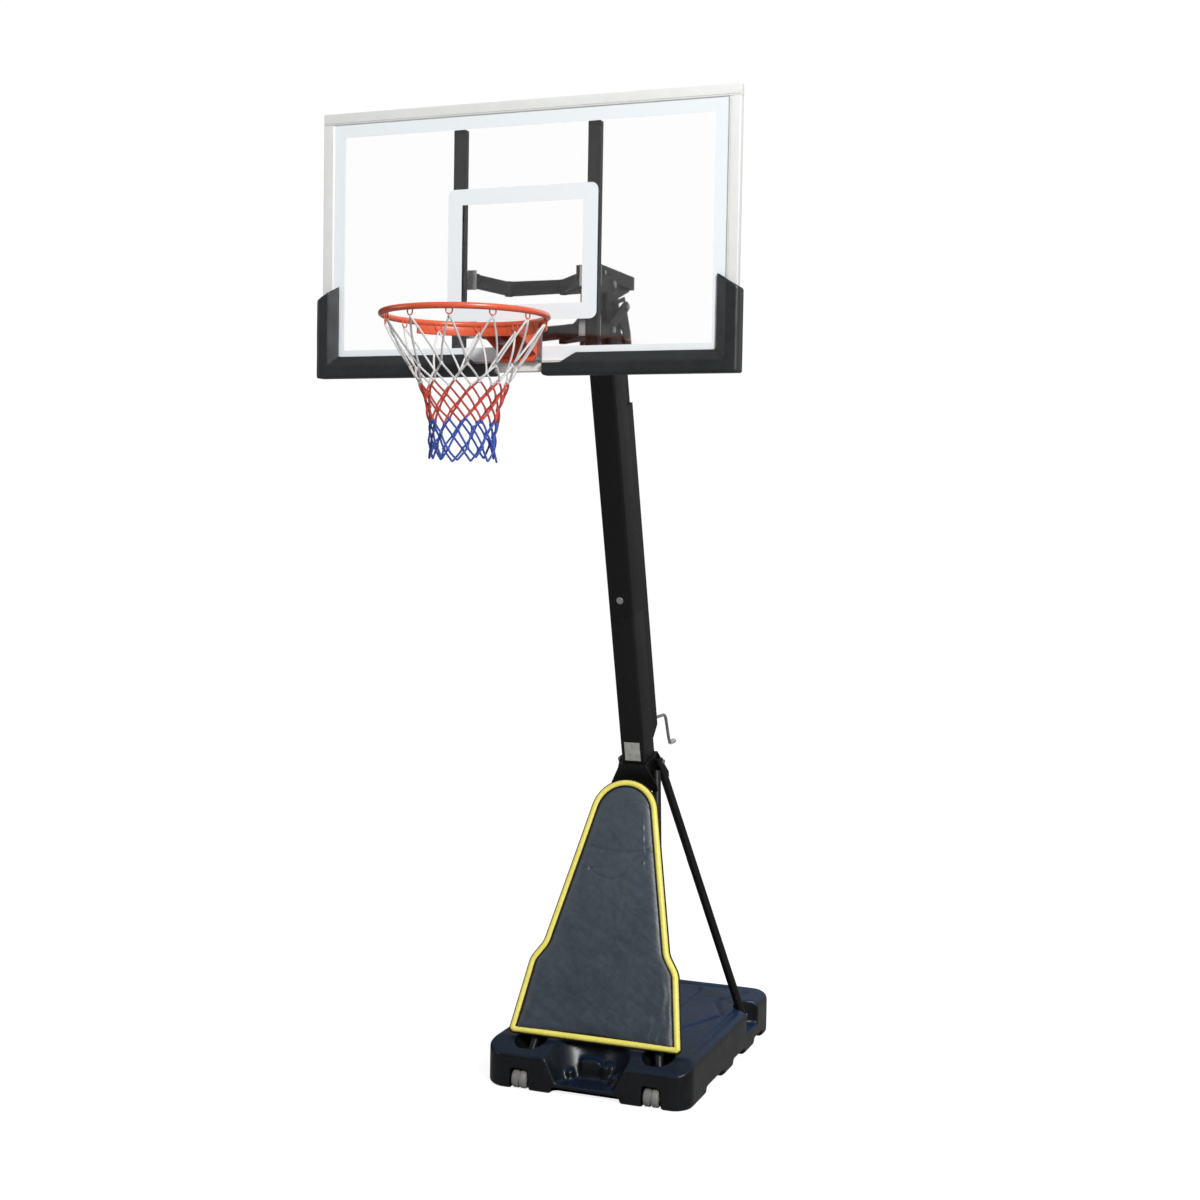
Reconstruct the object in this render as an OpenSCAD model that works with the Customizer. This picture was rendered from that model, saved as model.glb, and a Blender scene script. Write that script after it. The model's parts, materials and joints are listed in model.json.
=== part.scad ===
// Portable basketball hoop. Front is -Y, up is +Z, the origin is the middle of the base's footprint.
// All sizes are in millimetres.

/* [Board] */
// Width of the backboard frame
board_w = 1368; // [1200:1:1700]
// Height of the backboard frame
board_h = 817; // [720:1:1000]
// Height of the ring above the ground, arms as drawn
rim_height = 2577; // [2400:1:2750]
// Face of the backboard in front of the base's middle
board_reach = 1170; // [1100:1:1300]
// Height of the ring above the frame's lower edge
ring_above_edge = 125; // [110:1:150]
// Width of a frame rail
rail_w = 36; // [28:1:50]
// Depth of a frame rail
rail_d = 30; // [24:1:40]
// Thickness of the clear panel
panel_t = 5; // [4:0.5:10]
// Width of the painted border
border_w = 40; // [25:1:60]
// Width of the painted target square
target_w = 494; // [420:1:600]
// Height of the painted target square
target_h = 403; // [340:1:460]
// Width of the target's line
target_line = 48; // [35:1:60]

/* [Ring] */
// Inside diameter of the ring
ring_inner_d = 450; // [450:1:460]
// Diameter of the ring's rod
ring_rod_d = 18; // [16:0.5:20]
// Length of the net
net_h = 412; // [380:1:450]
// Number of net hooks
hook_count = 12; // [10:1:12]
// Width of the ring's mounting plate
plate_w = 152; // [120:1:180]

/* [Arms] */
// Distance between the two arm pivots at the pole, front to back of the base's middle
pole_pivot_reach = 580; // [570:1:600]
// Height of the lower pole pivot above the ring
pivot_above_rim = 63; // [55:1:75]
// Distance between the upper and the lower arm
link_gap = 150; // [140:1:165]
// Drop of the board pivots below the pole pivots
arm_drop = 48; // [40:1:60]
// Width of an arm's tube
arm_w = 25; // [20:1:28]
// Height of an arm's tube
arm_h = 46; // [40:1:50]
// Diameter of the pivot bolts
pivot_d = 14; // [12:0.5:16]
// Distance of the tail pins from the lower pivot
tail_r = 200; // [190:1:210]
// Bend of the tails above the arm's line
tail_bend = 24; // [22:0.5:26]

/* [Pole] */
// Width of the pole
pole_w = 90; // [76:1:91]
// Depth of the pole
pole_d = 116; // [100:1:125]
// Lean of the pole towards the court
pole_lean = 16; // [15:0.25:17]
// Height of the pole's foot above the ground
pole_foot_z = 1060; // [1000:1:1100]
// Wall of the pole's tube
pole_wall = 2.5; // [2:0.5:4]
// Length of the lower pole section
lower_section = 640; // [500:1:680]
// Depth of the jack channel behind the pole
channel_d = 75; // [70:1:85]
// Width of the jack channel
channel_w = 72; // [68:1:76]

/* [Base] */
// Width of the base tank
base_w = 760; // [700:1:900]
// Length of the base tank
base_l = 1060; // [960:1:1250]
// Height of the base tank
base_h = 165; // [150:1:190]
// Drop of the tank's top at its front edge
front_drop = 42; // [20:1:50]
// Wall of the base tank
tank_wall = 5; // [4:0.5:7]
// Depth of the sand in the tank
sand_depth = 60; // [40:1:80]
// Diameter of a transport wheel
wheel_d = 66; // [56:1:80]
// Width of a transport wheel
wheel_w = 56; // [40:1:60]
// Distance of a wheel from the middle plane
wheel_x = 245; // [200:1:260]
// Diameter of the wheel axles
axle_d = 12; // [10:0.5:14]
// Diameter of the rear struts
strut_d = 32; // [25:1:38]
// Diameter of the front legs
leg_d = 32; // [25:1:34]

/* [Pad] */
// Half width of the pole pad at its bottom
pad_half_w = 322; // [280:1:340]
// Length of the pole pad
pad_len = 935; // [850:1:960]
// Thickness of the pole pad
pad_t = 28; // [20:1:32]
// Diameter of the piping round the pad
piping_d = 17; // [12:1:18]

/* [Hidden] */

$fn = 48;
STEEL = [0.10, 0.10, 0.11];
SILVER = [0.78, 0.79, 0.80];
ORANGE = [0.92, 0.35, 0.18];
CHARCOAL = [0.20, 0.22, 0.24];
fit = 0.1;          // radial clearance of a turning bore
slack = 1.5;        // side clearance between moving pieces

board_y = -board_reach;
board_z0 = rim_height - ring_above_edge;
board_z1 = board_z0 + board_h;
board_back = board_y + rail_d;
panel_y = board_y + 5;

// Pivots of the arms, in the YZ plane.
low_z = rim_height + pivot_above_rim;
pole_pivot = [-pole_pivot_reach, low_z];
bar_d = 25;
bar_back = board_back + bar_d;
board_pivot = [bar_back + 30, low_z - arm_drop];

// Side places of the layers at the head.
cheek_x = 28;
cheek_t = 4;
arm_x = 66;
yoke_x = 48;
yoke_t = 4;
tail_t = 10;
arm_end_x = 190;
bar_x = 222;
bar_w = 40;

module mirrored() { children(); mirror([1, 0, 0]) children(); }
module side(s) { if (s < 0) mirror([1, 0, 0]) children(); else children(); }
module on_pole() { translate([0, 0, pole_foot_z]) rotate([pole_lean, 0, 0]) children(); }
function pole_n(p) = p[0] * cos(pole_lean) + (p[1] - pole_foot_z) * sin(pole_lean);
function pole_s(p) = -p[0] * sin(pole_lean) + (p[1] - pole_foot_z) * cos(pole_lean);

// A cylinder along X, centred on x.
module rod_x(d, x0, x1) { translate([x0, 0, 0]) rotate([0, 90, 0]) cylinder(d = d, h = x1 - x0); }
module at_yz(p) { translate([0, p[0], p[1]]) children(); }
// A box given by its two corners.
module block(a, b) { translate(a) cube([b[0] - a[0], b[1] - a[1], b[2] - a[2]]); }
// A plate in the YZ plane between x0 and x1, from an outline of [y, z] points.
module plate_x(x0, x1) { translate([x0, 0, 0]) rotate([90, 0, 90]) linear_extrude(x1 - x0) children(); }
// Turns +Z to point from p to q.
module aim(p, q) {
  v = q - p;
  len_xy = norm([v[0], v[1]]);
  translate(p) rotate([0, acos(v[2] / norm(v)), len_xy == 0 ? 0 : atan2(v[1], v[0])]) children();
}
module tube(p, q, d, wall) {
  l = norm(q - p);
  aim(p, q) difference() {
    cylinder(d = d, h = l);
    translate([0, 0, wall]) cylinder(d = d - 2 * wall, h = l - 2 * wall);
  }
}
// A rectangular tube from p to q that stays upright: w across, h high.
module beam(p, q, w, h, wall) {
  v = q - p;
  l = norm(v);
  yaw = atan2(v[1], v[0]);
  pitch = asin(v[2] / l);
  translate(p) rotate([0, 0, yaw]) rotate([0, -pitch, 0]) translate([0, -w / 2, -h / 2]) difference() {
    cube([l, w, h]);
    translate([wall, wall, wall]) cube([l - 2 * wall, w - 2 * wall, h - 2 * wall]);
  }
}
module rounded_box(w, l, h, r) {
  linear_extrude(h) rounded_rect(w, l, r);
}
module rounded_rect(w, l, r) {
  square([w - 2 * r, l], center = true);
  square([w, l - 2 * r], center = true);
  for (x = [-1, 1], y = [-1, 1]) translate([x * (w / 2 - r), y * (l / 2 - r)]) circle(r);
}
module hex_head(af, h) { cylinder(d = af / cos(30), h = h, $fn = 6); }

// ---------------------------------------------------------------- base
corner_r = 70;
wheel_z = wheel_d / 2 + 2;
wheel_y = -base_l / 2 + 27;
slot_w = wheel_w + 16;
leg_foot = [240, -base_l / 2 + 105, 95];
foot_plate_t = 6;
strut_foot_z = 105;
strut_foot_y = 262;
pocket_r = 58;
strut_pocket_r = 74;
recess_z = 38;
recess_low_r = 105;
recess_high_r = 168;
front_slope = atan(front_drop / 95);
port_d = 60;
port = [-170, 330];

// The tank's outer form, shrunk by g: its pockets grow by g, so that the wall is even.
module tank_form(g) {
  difference() {
    translate([0, 0, g]) rounded_box(base_w - 2 * g, base_l - 2 * g, base_h - 2 * g, corner_r - g);
    for (s = [-1, 1]) {
      translate([s * wheel_x - slot_w / 2 - g, -base_l / 2 - 1, -1])
        cube([slot_w + 2 * g, wheel_d / 2 + 45 + g, wheel_z + wheel_d / 2 + 9 + g]);
      translate([s * leg_foot[0], leg_foot[1] - 8, leg_foot[2] - g])
        cylinder(r = pocket_r + g, h = base_h);
      translate([s * base_w / 2, strut_foot_y, strut_foot_z - 30 - g])
        cylinder(r = strut_pocket_r + g, h = base_h);
    }
    translate([0, -base_l / 2, recess_z - g])
      cylinder(r1 = recess_low_r + g, r2 = recess_high_r + g, h = base_h - recess_z + 2 * g);
    translate([0, -base_l / 2, base_h - front_drop]) rotate([front_slope, 0, 0])
      translate([-base_w, -100, -g]) cube([2 * base_w, 400, 200]);
  }
}
module base_tank() {
  color([0.13, 0.16, 0.22]) difference() {
    tank_form(0);
    tank_form(tank_wall);
    translate([port[0], port[1], base_h - tank_wall - 1]) cylinder(d = port_d, h = tank_wall + 2);
    for (s = [-1, 1]) translate([s * wheel_x, wheel_y, wheel_z])
      rod_x(axle_d, -slot_w / 2 - tank_wall, slot_w / 2 + tank_wall);
  }
}
module ballast_sand() {
  color("tan") intersection() {
    tank_form(tank_wall + 0.5);
    translate([-base_w / 2, -base_l / 2, 0]) cube([base_w, base_l, tank_wall + sand_depth]);
  }
}
module fill_cap() {
  color(CHARCOAL) translate([port[0], port[1], base_h]) {
    cylinder(d = port_d + 16, h = 9);
    translate([0, 0, -14]) difference() {
      cylinder(d = port_d - 2, h = 15);
      translate([0, 0, -1]) cylinder(d = port_d - 8, h = 14);
    }
    for (a = [0, 90]) rotate(a) translate([-30, -3, 8]) cube([60, 6, 7]);
  }
}
module wheel() {
  difference() {
    rod_x(wheel_d, -wheel_w / 2, wheel_w / 2);
    rod_x(axle_d + 2 * fit, -wheel_w, wheel_w);
    for (s = [-1, 1]) translate([s * (wheel_w / 2 - 3), 0, 0]) difference() {
      rod_x(wheel_d - 22, -3.1, 3.1);
      rod_x(axle_d + 16, -4, 4);
    }
  }
}
module wheel_left() { color("gray") translate([-wheel_x, wheel_y, wheel_z]) wheel(); }
module wheel_right() { color("gray") translate([wheel_x, wheel_y, wheel_z]) wheel(); }
module wheel_axles() {
  color(SILVER) for (s = [-1, 1]) translate([s * wheel_x, wheel_y, wheel_z])
    rod_x(axle_d, -slot_w / 2 - tank_wall, slot_w / 2 + tank_wall);
}

// ---------------------------------------------------------------- legs
flare_w = 180;
flare_t = 5;
socket_t = 6;
flare_low = 30;
weld = 0.5;
// Lower edge of the socket's front flare as [y, z]; the front legs pass just behind it.
flare_edge = [-(pole_d / 2 + socket_t) * cos(pole_lean) + flare_low * sin(pole_lean),
  pole_foot_z - (pole_d / 2 + socket_t) * sin(pole_lean) - flare_low * cos(pole_lean)];
leg_start_z = leg_foot[2] + 14;
leg_steep = atan((flare_edge[0] + leg_d / 2 - leg_foot[1]) / (flare_edge[1] - leg_start_z));
leg_pass_y = flare_edge[0] + leg_d / 2 / cos(leg_steep) + 0.1;
leg_slope = (leg_pass_y - leg_foot[1]) / (flare_edge[1] - leg_start_z);
leg_top_z = pole_foot_z + 18;
leg_top = [pole_w / 2 + socket_t + leg_d / 2 + 0.5, leg_pass_y + leg_slope * (leg_top_z - flare_edge[1]),
  leg_top_z];
// The strut's top stays just behind the leg's.
strut_top = [pole_w / 2 + socket_t + strut_d / 2 + 0.5, leg_top[1] + leg_d / 2 / cos(leg_steep) + 2.6,
  pole_foot_z + 62];
strut_foot = [base_w / 2 - 34, strut_foot_y, strut_foot_z];

module front_leg() {
  tube([leg_foot[0], leg_foot[1], leg_start_z], leg_top, leg_d, 2);
  translate(leg_foot + [-26, -52, 0]) cube([52, 76, foot_plate_t]);
  translate(leg_foot) cylinder(d = leg_d + 8, h = 26);
}
module front_leg_left() { color(STEEL) side(-1) difference() { front_leg(); leg_bolt_hole(); } }
module front_leg_right() { color(STEEL) difference() { front_leg(); leg_bolt_hole(); } }
module leg_bolt_hole() { translate(leg_foot + [0, -38, -1]) cylinder(d = 10, h = foot_plate_t + 2); }
module rear_strut() {
  tube(strut_top, strut_foot, strut_d, 2);
  translate(strut_foot + [-14, -24, -24]) block([8, 0, -6], [14, 48, 54]);
}
module rear_strut_left() { color(STEEL) side(-1) difference() { rear_strut(); strut_bolts(); } }
module rear_strut_right() { color(STEEL) difference() { rear_strut(); strut_bolts(); } }
// The bolts at the two ends of a rear strut.
module strut_bolts() {
  translate(strut_foot + [0, 15, 12]) rotate([0, 90, 0]) hex_head(17, 8);
  translate(strut_top + [strut_d / 2 - 1, 2, -9]) rotate([0, 90, 0]) hex_head(16, 8);
}
module leg_bolts() {
  color(SILVER) mirrored() {
    translate(leg_foot + [0, -38, foot_plate_t]) hex_head(17, 8);
    translate(leg_foot + [0, -38, foot_plate_t]) cylinder(d = 6, h = 22);
    strut_bolts();
  }
}
// ---------------------------------------------------------------- pole
pole_top_s = (low_z + 168 - pole_foot_z - pole_d / 2 * sin(pole_lean)) / cos(pole_lean);
sleeve_gap = 0.3;
sleeve_half = 110;
bolt_s = lower_section + 62;

module pole_tube(s0, s1) {
  on_pole() translate([0, 0, s0]) difference() {
    translate([-pole_w / 2, -pole_d / 2, 0]) cube([pole_w, pole_d, s1 - s0]);
    translate([-pole_w / 2 + pole_wall, -pole_d / 2 + pole_wall, -1])
      cube([pole_w - 2 * pole_wall, pole_d - 2 * pole_wall, s1 - s0 + 2]);
  }
}
module pole_bolt_hole(d) {
  on_pole() translate([0, -pole_d / 2 - 1, bolt_s]) rotate([-90, 0, 0]) cylinder(d = d, h = 12);
}
module pole_socket() {
  wall_w = pole_w + 2 * socket_t;
  wall_d = pole_d + 2 * socket_t;
  color(STEEL) union() {
    on_pole() difference() {
      translate([-wall_w / 2, -wall_d / 2 - weld, -8]) cube([wall_w, wall_d + 2 * weld, 78]);
      translate([-pole_w / 2, -pole_d / 2, 0]) cube([pole_w, pole_d, 90]);
    }
    on_pole() for (y = [-wall_d / 2, wall_d / 2 + flare_t]) translate([0, y, 0]) rotate([90, 0, 0])
      linear_extrude(flare_t) polygon([[-flare_w / 2, -flare_low], [flare_w / 2, -flare_low],
        [flare_w / 2, -8], [wall_w / 2, 70], [-wall_w / 2, 70], [-flare_w / 2, -8]]);
  }
}
module pole_lower() { color(STEEL) pole_tube(0, lower_section); }
module pole_upper() {
  color(STEEL) difference() { pole_tube(lower_section, pole_top_s); pole_bolt_hole(10); }
}
module pole_sleeve() {
  w = pole_w - 2 * (pole_wall + sleeve_gap);
  d = pole_d - 2 * (pole_wall + sleeve_gap);
  color(STEEL) difference() {
    on_pole() translate([-w / 2, -d / 2, lower_section - sleeve_half]) difference() {
      cube([w, d, 2 * sleeve_half]);
      translate([3, 3, -1]) cube([w - 6, d - 6, 2 * sleeve_half + 2]);
    }
    pole_bolt_hole(10);
  }
}
module pole_bolt() {
  color(SILVER) on_pole() translate([0, -pole_d / 2, bolt_s]) rotate([-90, 0, 0]) {
    cylinder(d = 10, h = 11);
    translate([0, 0, -6]) hex_head(17, 6);
    translate([0, 0, -1]) cylinder(d = 26, h = 1);
  }
}
// ---------------------------------------------------------------- head
head_top_z = low_z + 213;
head_rear = -pole_pivot_reach + 300;
head_front = -pole_pivot_reach - 24;
head_cap_x = 45;
head_skirt = 42;
head_bolt_y = -pole_pivot_reach + 4;
head_bolt_z = [low_z - 43, low_z + 192];

function pole_axis_y(z) = -(z - pole_foot_z) * tan(pole_lean);
module pole_outline() {
  translate([0, pole_foot_z]) rotate(pole_lean) translate([-pole_d / 2, -10])
    square([pole_d, pole_top_s + 10]);
}
module head_cheek() {
  step_z = low_z + 115;
  difference() {
    plate_x(cheek_x - cheek_t, cheek_x) difference() {
      polygon([[head_front, low_z - 65], [pole_axis_y(low_z - 65), low_z - 65],
        [pole_axis_y(step_z), step_z], [pole_axis_y(step_z) + pole_d * 0.44, step_z],
        [head_rear - 3, low_z + 166], [head_rear - 3, head_top_z], [head_front + 3, head_top_z],
        [head_front + 3, head_top_z - head_skirt], [head_front, head_top_z - head_skirt]]);
      pole_outline();
    }
    for (dz = [0, link_gap]) at_yz(pole_pivot + [0, dz]) rod_x(pivot_d, 0, cheek_x + 5);
    for (z = head_bolt_z) at_yz([head_bolt_y, z]) rod_x(8, 0, cheek_x + 5);
  }
}
module head_cheek_left() { color(STEEL) side(-1) head_cheek(); }
module head_cheek_right() { color(STEEL) head_cheek(); }
module head_top() {
  color(STEEL) {
    block([-head_cap_x, head_front, head_top_z], [head_cap_x, head_rear, head_top_z + 3]);
    for (y = [head_front, head_rear - 3])
      block([-head_cap_x, y, head_top_z - head_skirt], [head_cap_x, y + 3, head_top_z]);
    mirrored() difference() {
      plate_x(head_cap_x - 3, head_cap_x) translate([head_front + 3, head_top_z - head_skirt])
        square([head_rear - head_front - 6, head_skirt]);
      at_yz([head_bolt_y, head_bolt_z[1]]) rod_x(8, 0, head_cap_x + 5);
    }
  }
}
module head_bolts() {
  color(SILVER) for (i = [0, 1]) at_yz([head_bolt_y, head_bolt_z[i]]) {
    out = i == 0 ? cheek_x : head_cap_x;
    rod_x(8, -out - 3, out + 3);
    for (s = [0, 1]) mirror([s, 0, 0]) translate([out, 0, 0]) rotate([0, 90, 0]) hex_head(13, 6);
  }
}
module arm_pivot_bolts() {
  out = arm_x + arm_w / 2 + slack;
  color(SILVER) for (dz = [0, link_gap]) at_yz(pole_pivot + [0, dz]) {
    rod_x(pivot_d, -out - 6, out + 6);
    for (s = [0, 1]) mirror([s, 0, 0]) {
      translate([out, 0, 0]) rotate([0, 90, 0]) hex_head(22, 8);
      rod_x(pivot_d + 10, cheek_x, arm_x - arm_w / 2 - slack);
    }
  }
}
// ---------------------------------------------------------------- jack
channel_s0 = 200;
channel_s1 = 1380;
channel_wall = 3;
push_gap = 4;
push_w = channel_w - 2 * (channel_wall + push_gap);
push_d = channel_d - channel_wall - 2 * push_gap - 2;
push_n = pole_d / 2 + push_gap + 2 + push_d / 2;
screw_d = 14;
screw_l = 470;
pin_d = 12;
pin_clear = 11;
// The tail pin at rest, seen from the lower pivot.
arm_fall = atan2(arm_drop, board_pivot[0] * -1 - pole_pivot_reach);
tail_angle = arm_fall + tail_bend;
tail_pin = pole_pivot + tail_r * [cos(tail_angle), sin(tail_angle)];
pin_s = pole_s(tail_pin);
pin_n_near = pole_n(pole_pivot) + tail_r * cos(48);
pin_n_far = pole_n(pole_pivot) + tail_r;
push_top = pin_s - 140;
push_bottom = 440;

module jack_channel() {
  color(STEEL) on_pole() difference() {
    translate([-channel_w / 2, pole_d / 2, channel_s0])
      cube([channel_w, channel_d, channel_s1 - channel_s0]);
    translate([-channel_w / 2 + channel_wall, pole_d / 2 - 1, channel_s0 - 1])
      cube([channel_w - 2 * channel_wall, channel_d - channel_wall + 1, channel_s1 - channel_s0 + 2]);
  }
}
case_s = 178;
module at_gear() { on_pole() translate([0, push_n, case_s]) children(); }
module gear_case() {
  n0 = pole_d / 2;
  n1 = pole_d / 2 + channel_d;
  color(STEEL) difference() {
    on_pole() plate_x(-channel_w / 2, channel_w / 2)
      polygon([[n0, 120], [n0 + 22, 120], [n1, 152], [n1, channel_s0], [n0, channel_s0]]);
    on_pole() plate_x(-channel_w / 2 + 3, channel_w / 2 - 3)
      polygon([[n0 + 3, 123], [n0 + 21, 123], [n1 - 3, 153.5], [n1 - 3, channel_s0 - 3],
        [n0 + 3, channel_s0 - 3]]);
    at_gear() cylinder(d = screw_d + 2 * fit, h = 60);
    at_gear() rotate([-pole_lean, 0, 0]) rotate([-90, 0, 0]) cylinder(d = 12 + 2 * fit, h = 90);
  }
}
module lead_screw() {
  color(SILVER) at_gear() translate([0, 0, 5]) {
    cylinder(d = screw_d, h = screw_l);
    cylinder(r1 = 5, r2 = 13, h = 6);
  }
}
crank_l = 238;
crank_arm = [0, 56, -116];
crank_d = 12;
elbow_d = 14;
peg_d = 9;
peg_l = 62;
grip_l = 53;
// The crank's frame: its axis is level and points to the rear, which becomes +Z for on_peg.
module on_crank() { at_gear() rotate([-pole_lean, 0, 0]) children(); }
module on_peg() { on_crank() translate([0, crank_l, 0] + crank_arm) rotate([-90, 0, 0]) children(); }
module crank_shaft() {
  elbow = [0, crank_l, 0];
  color(SILVER) {
    on_crank() {
      rotate([-90, 0, 0]) translate([0, 0, 14]) cylinder(d = crank_d, h = crank_l - 14);
      rotate([-90, 0, 0]) translate([0, 0, 14]) cylinder(r1 = 5, r2 = 11, h = 6);
      translate(elbow) sphere(d = elbow_d);
      aim(elbow, elbow + crank_arm) cylinder(d = crank_d, h = norm(crank_arm));
    }
    on_peg() {
      sphere(d = elbow_d);
      cylinder(d = peg_d, h = peg_l);
      translate([0, 0, peg_l]) cylinder(d = peg_d + 5, h = 3);
    }
  }
}
module crank_grip() {
  color("dimgray") on_peg() translate([0, 0, 8]) difference() {
    cylinder(d = 20, h = grip_l);
    translate([0, 0, -1]) cylinder(d = peg_d + 2 * fit, h = grip_l + 2);
  }
}
module push_tube() {
  color(STEEL) on_pole() difference() {
    translate([-push_w / 2, push_n - push_d / 2, push_bottom])
      cube([push_w, push_d, push_top - push_bottom]);
    translate([-push_w / 2 + 2.5, push_n - push_d / 2 + 2.5, push_bottom - 1])
      cube([push_w - 5, push_d - 5, push_top - push_bottom + 2]);
  }
}
module screw_nut() {
  w = push_w - 5;
  d = push_d - 5;
  color("goldenrod") on_pole() translate([0, push_n, push_bottom]) difference() {
    translate([-w / 2, -d / 2, 0]) cube([w, d, 22]);
    translate([0, 0, -1]) cylinder(d = screw_d + 2 * fit, h = 24);
  }
}
module lift_yoke() {
  n0 = pin_n_near - 10;
  n1 = pin_n_far + 10;
  block_n = [push_n - push_d / 2, push_n + push_d / 2];
  slot_h = pin_d / 2 + pin_clear;
  color(STEEL) on_pole() {
    translate([-yoke_x - yoke_t, block_n[0], push_top]) cube([2 * (yoke_x + yoke_t), push_d, 40]);
    for (s = [0, 1]) mirror([s, 0, 0]) difference() {
      plate_x(yoke_x, yoke_x + yoke_t) polygon([[n0 - 12, pin_s + 31], [n1 + 8, pin_s + 31],
        [block_n[1], push_top + 40], [block_n[1], push_top], [block_n[0], push_top],
        [block_n[0], push_top + 40], [n0 + 10, pin_s - 31], [n0 - 12, pin_s - 31]]);
      translate([0, n0, pin_s - slot_h]) cube([yoke_x + 10, n1 - n0, 2 * slot_h]);
    }
  }
}
label_t = 0.6;
module blank_labels() {
  color("silver") {
    on_pole() translate([-30, -pole_d / 2 - label_t, 82]) cube([60, label_t, 72]);
    mirrored() aim(strut_top, strut_foot) translate([0, 0, norm(strut_foot - strut_top) * 0.37])
      rotate(180)
      difference() {
        cylinder(d = strut_d + 2 * label_t, h = 46);
        translate([0, 0, -1]) cylinder(d = strut_d, h = 48);
        translate([-30, 0, -1]) cube([60, 60, 60]);
      }
  }
}
// ---------------------------------------------------------------- pad
// The pad stands in front of the legs, leaning a little less than they do.
pad_foot_z = 180;
pad_leg_gap = 51.1;
pad_lean = atan(leg_slope) - 3.48;
pad_bottom = [leg_foot[1] + leg_slope * (pad_foot_z - leg_start_z) - pad_leg_gap / cos(atan(leg_slope)),
  pad_foot_z];
// Half of the pad's outline as [half width, height], up to where the round top begins.
pad_top_r = 127;
pad_side = [[pad_half_w, 0], [pad_half_w - 43, 266], [pad_half_w - 85, 327], [pad_half_w - 161, 667],
  [pad_top_r - 4, pad_len - pad_top_r + 31]];

module pad_outline(g) {
  half = [for (p = pad_side) [p[0] - g, max(p[1], g)]];
  for (m = [0, 1]) mirror([m, 0])
    polygon(concat([[0, g]], half, [[0, pad_len - pad_top_r]]));
  translate([0, pad_len - pad_top_r]) circle(pad_top_r - g);
}
module on_pad() { translate([0, pad_bottom[0], pad_bottom[1]]) rotate([-pad_lean, 0, 0]) children(); }
module pole_pad() {
  color([0.28, 0.32, 0.36]) on_pad() translate([0, pad_t, 0]) rotate([90, 0, 0])
    linear_extrude(pad_t) pad_outline(piping_d / 2);
}
module pad_piping() {
  color([0.93, 0.89, 0.40]) on_pad() translate([0, pad_t * 0.8, 0]) rotate([90, 0, 0])
    linear_extrude(pad_t * 0.6) difference() { pad_outline(0); pad_outline(piping_d / 2); }
}
module pad_straps() {
  color(CHARCOAL) on_pad() for (z = [250, 640]) translate([0, pad_t, z]) difference() {
    w = 410 - 0.40 * z;
    translate([-w / 2, 0, 0]) cube([w, leg_d + 30, 38]);
    translate([-w / 2 + 3, -1, -1]) cube([w - 6, leg_d + 28, 40]);
  }
}
// ---------------------------------------------------------------- arms
arm_wall = 3;
knee = [92, board_pivot[0] + 41, board_pivot[1] - 22];

// One arm, drawn for the lower link; up lifts it to the upper one.
module arm(up) {
  p = [arm_x, pole_pivot[0], pole_pivot[1]];
  e = [arm_end_x, board_pivot[0], board_pivot[1]];
  translate([0, 0, up]) difference() {
    union() {
      beam(p, knee, arm_w, arm_h, arm_wall);
      beam(knee, e, arm_w, arm_h * 0.9, arm_wall);
      translate(knee - [0, 0, arm_h / 2]) cylinder(d = arm_w, h = arm_h);
      translate(p) rod_x(arm_h + 2, -arm_w / 2, arm_w / 2);
      translate(e) rod_x(arm_h, -arm_w / 2, arm_w / 2);
    }
    for (q = [p, e]) translate(q) rod_x(pivot_d + 2 * fit, -40, 60);
  }
}
tail_half = 18;
module tail() {
  difference() {
    at_yz(pole_pivot) rotate([tail_angle, 0, 0]) plate_x(arm_x - tail_t, arm_x) union() {
      translate([0, -tail_half]) square([tail_r, 2 * tail_half]);
      translate([tail_r, 0]) circle(tail_half);
    }
    at_yz(tail_pin) rod_x(pin_d, 0, 200);
    at_yz(pole_pivot) rod_x(pivot_d + 2 * fit, 0, 200);
  }
}
module lower_arm() { union() { arm(0); tail(); } }
module lower_arm_left() { color(STEEL) side(-1) lower_arm(); }
module lower_arm_right() { color(STEEL) lower_arm(); }
module upper_arm_left() { color(STEEL) side(-1) arm(link_gap); }
module upper_arm_right() { color(STEEL) arm(link_gap); }
module tail_pins() {
  color(SILVER) mirrored() at_yz(tail_pin) {
    rod_x(pin_d, yoke_x - 1, arm_x + 3);
    translate([arm_x, 0, 0]) rotate([0, 90, 0]) hex_head(18, 7);
  }
}
// ---------------------------------------------------------------- board
rail_in = board_w / 2 - rail_w;
module frame_rail(x0, x1, z0, z1) {
  difference() {
    block([x0, board_y, z0], [x1, board_back, z1]);
    block([x0 + 2, board_y + 2, z0 + 2], [x1 - 2, board_back - 2, z1 - 2]);
  }
}
module long_rail(z) { color("gainsboro") frame_rail(-board_w / 2, board_w / 2, z, z + rail_w); }
module short_rail(x) {
  color("gainsboro") frame_rail(x, x + rail_w, board_z0 + rail_w, board_z1 - rail_w);
}
module frame_top() { long_rail(board_z1 - rail_w); }
module frame_bottom() { long_rail(board_z0); }
module frame_left() { short_rail(-board_w / 2); }
module frame_right() { short_rail(rail_in); }
module clear_panel() {
  color([0.85, 0.92, 0.95, 0.4])
    block([-rail_in, panel_y, board_z0 + rail_w], [rail_in, panel_y + panel_t, board_z1 - rail_w]);
}
skin = 0.5;
module border_line() {
  color("white") difference() {
    block([-rail_in, panel_y - skin, board_z0 + rail_w], [rail_in, panel_y, board_z1 - rail_w]);
    block([-rail_in + border_w, panel_y - 1, board_z0 + rail_w + border_w],
      [rail_in - border_w, panel_y + 1, board_z1 - rail_w - border_w]);
  }
}
target_z0 = rim_height + 31;
target_r = 22;
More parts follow.
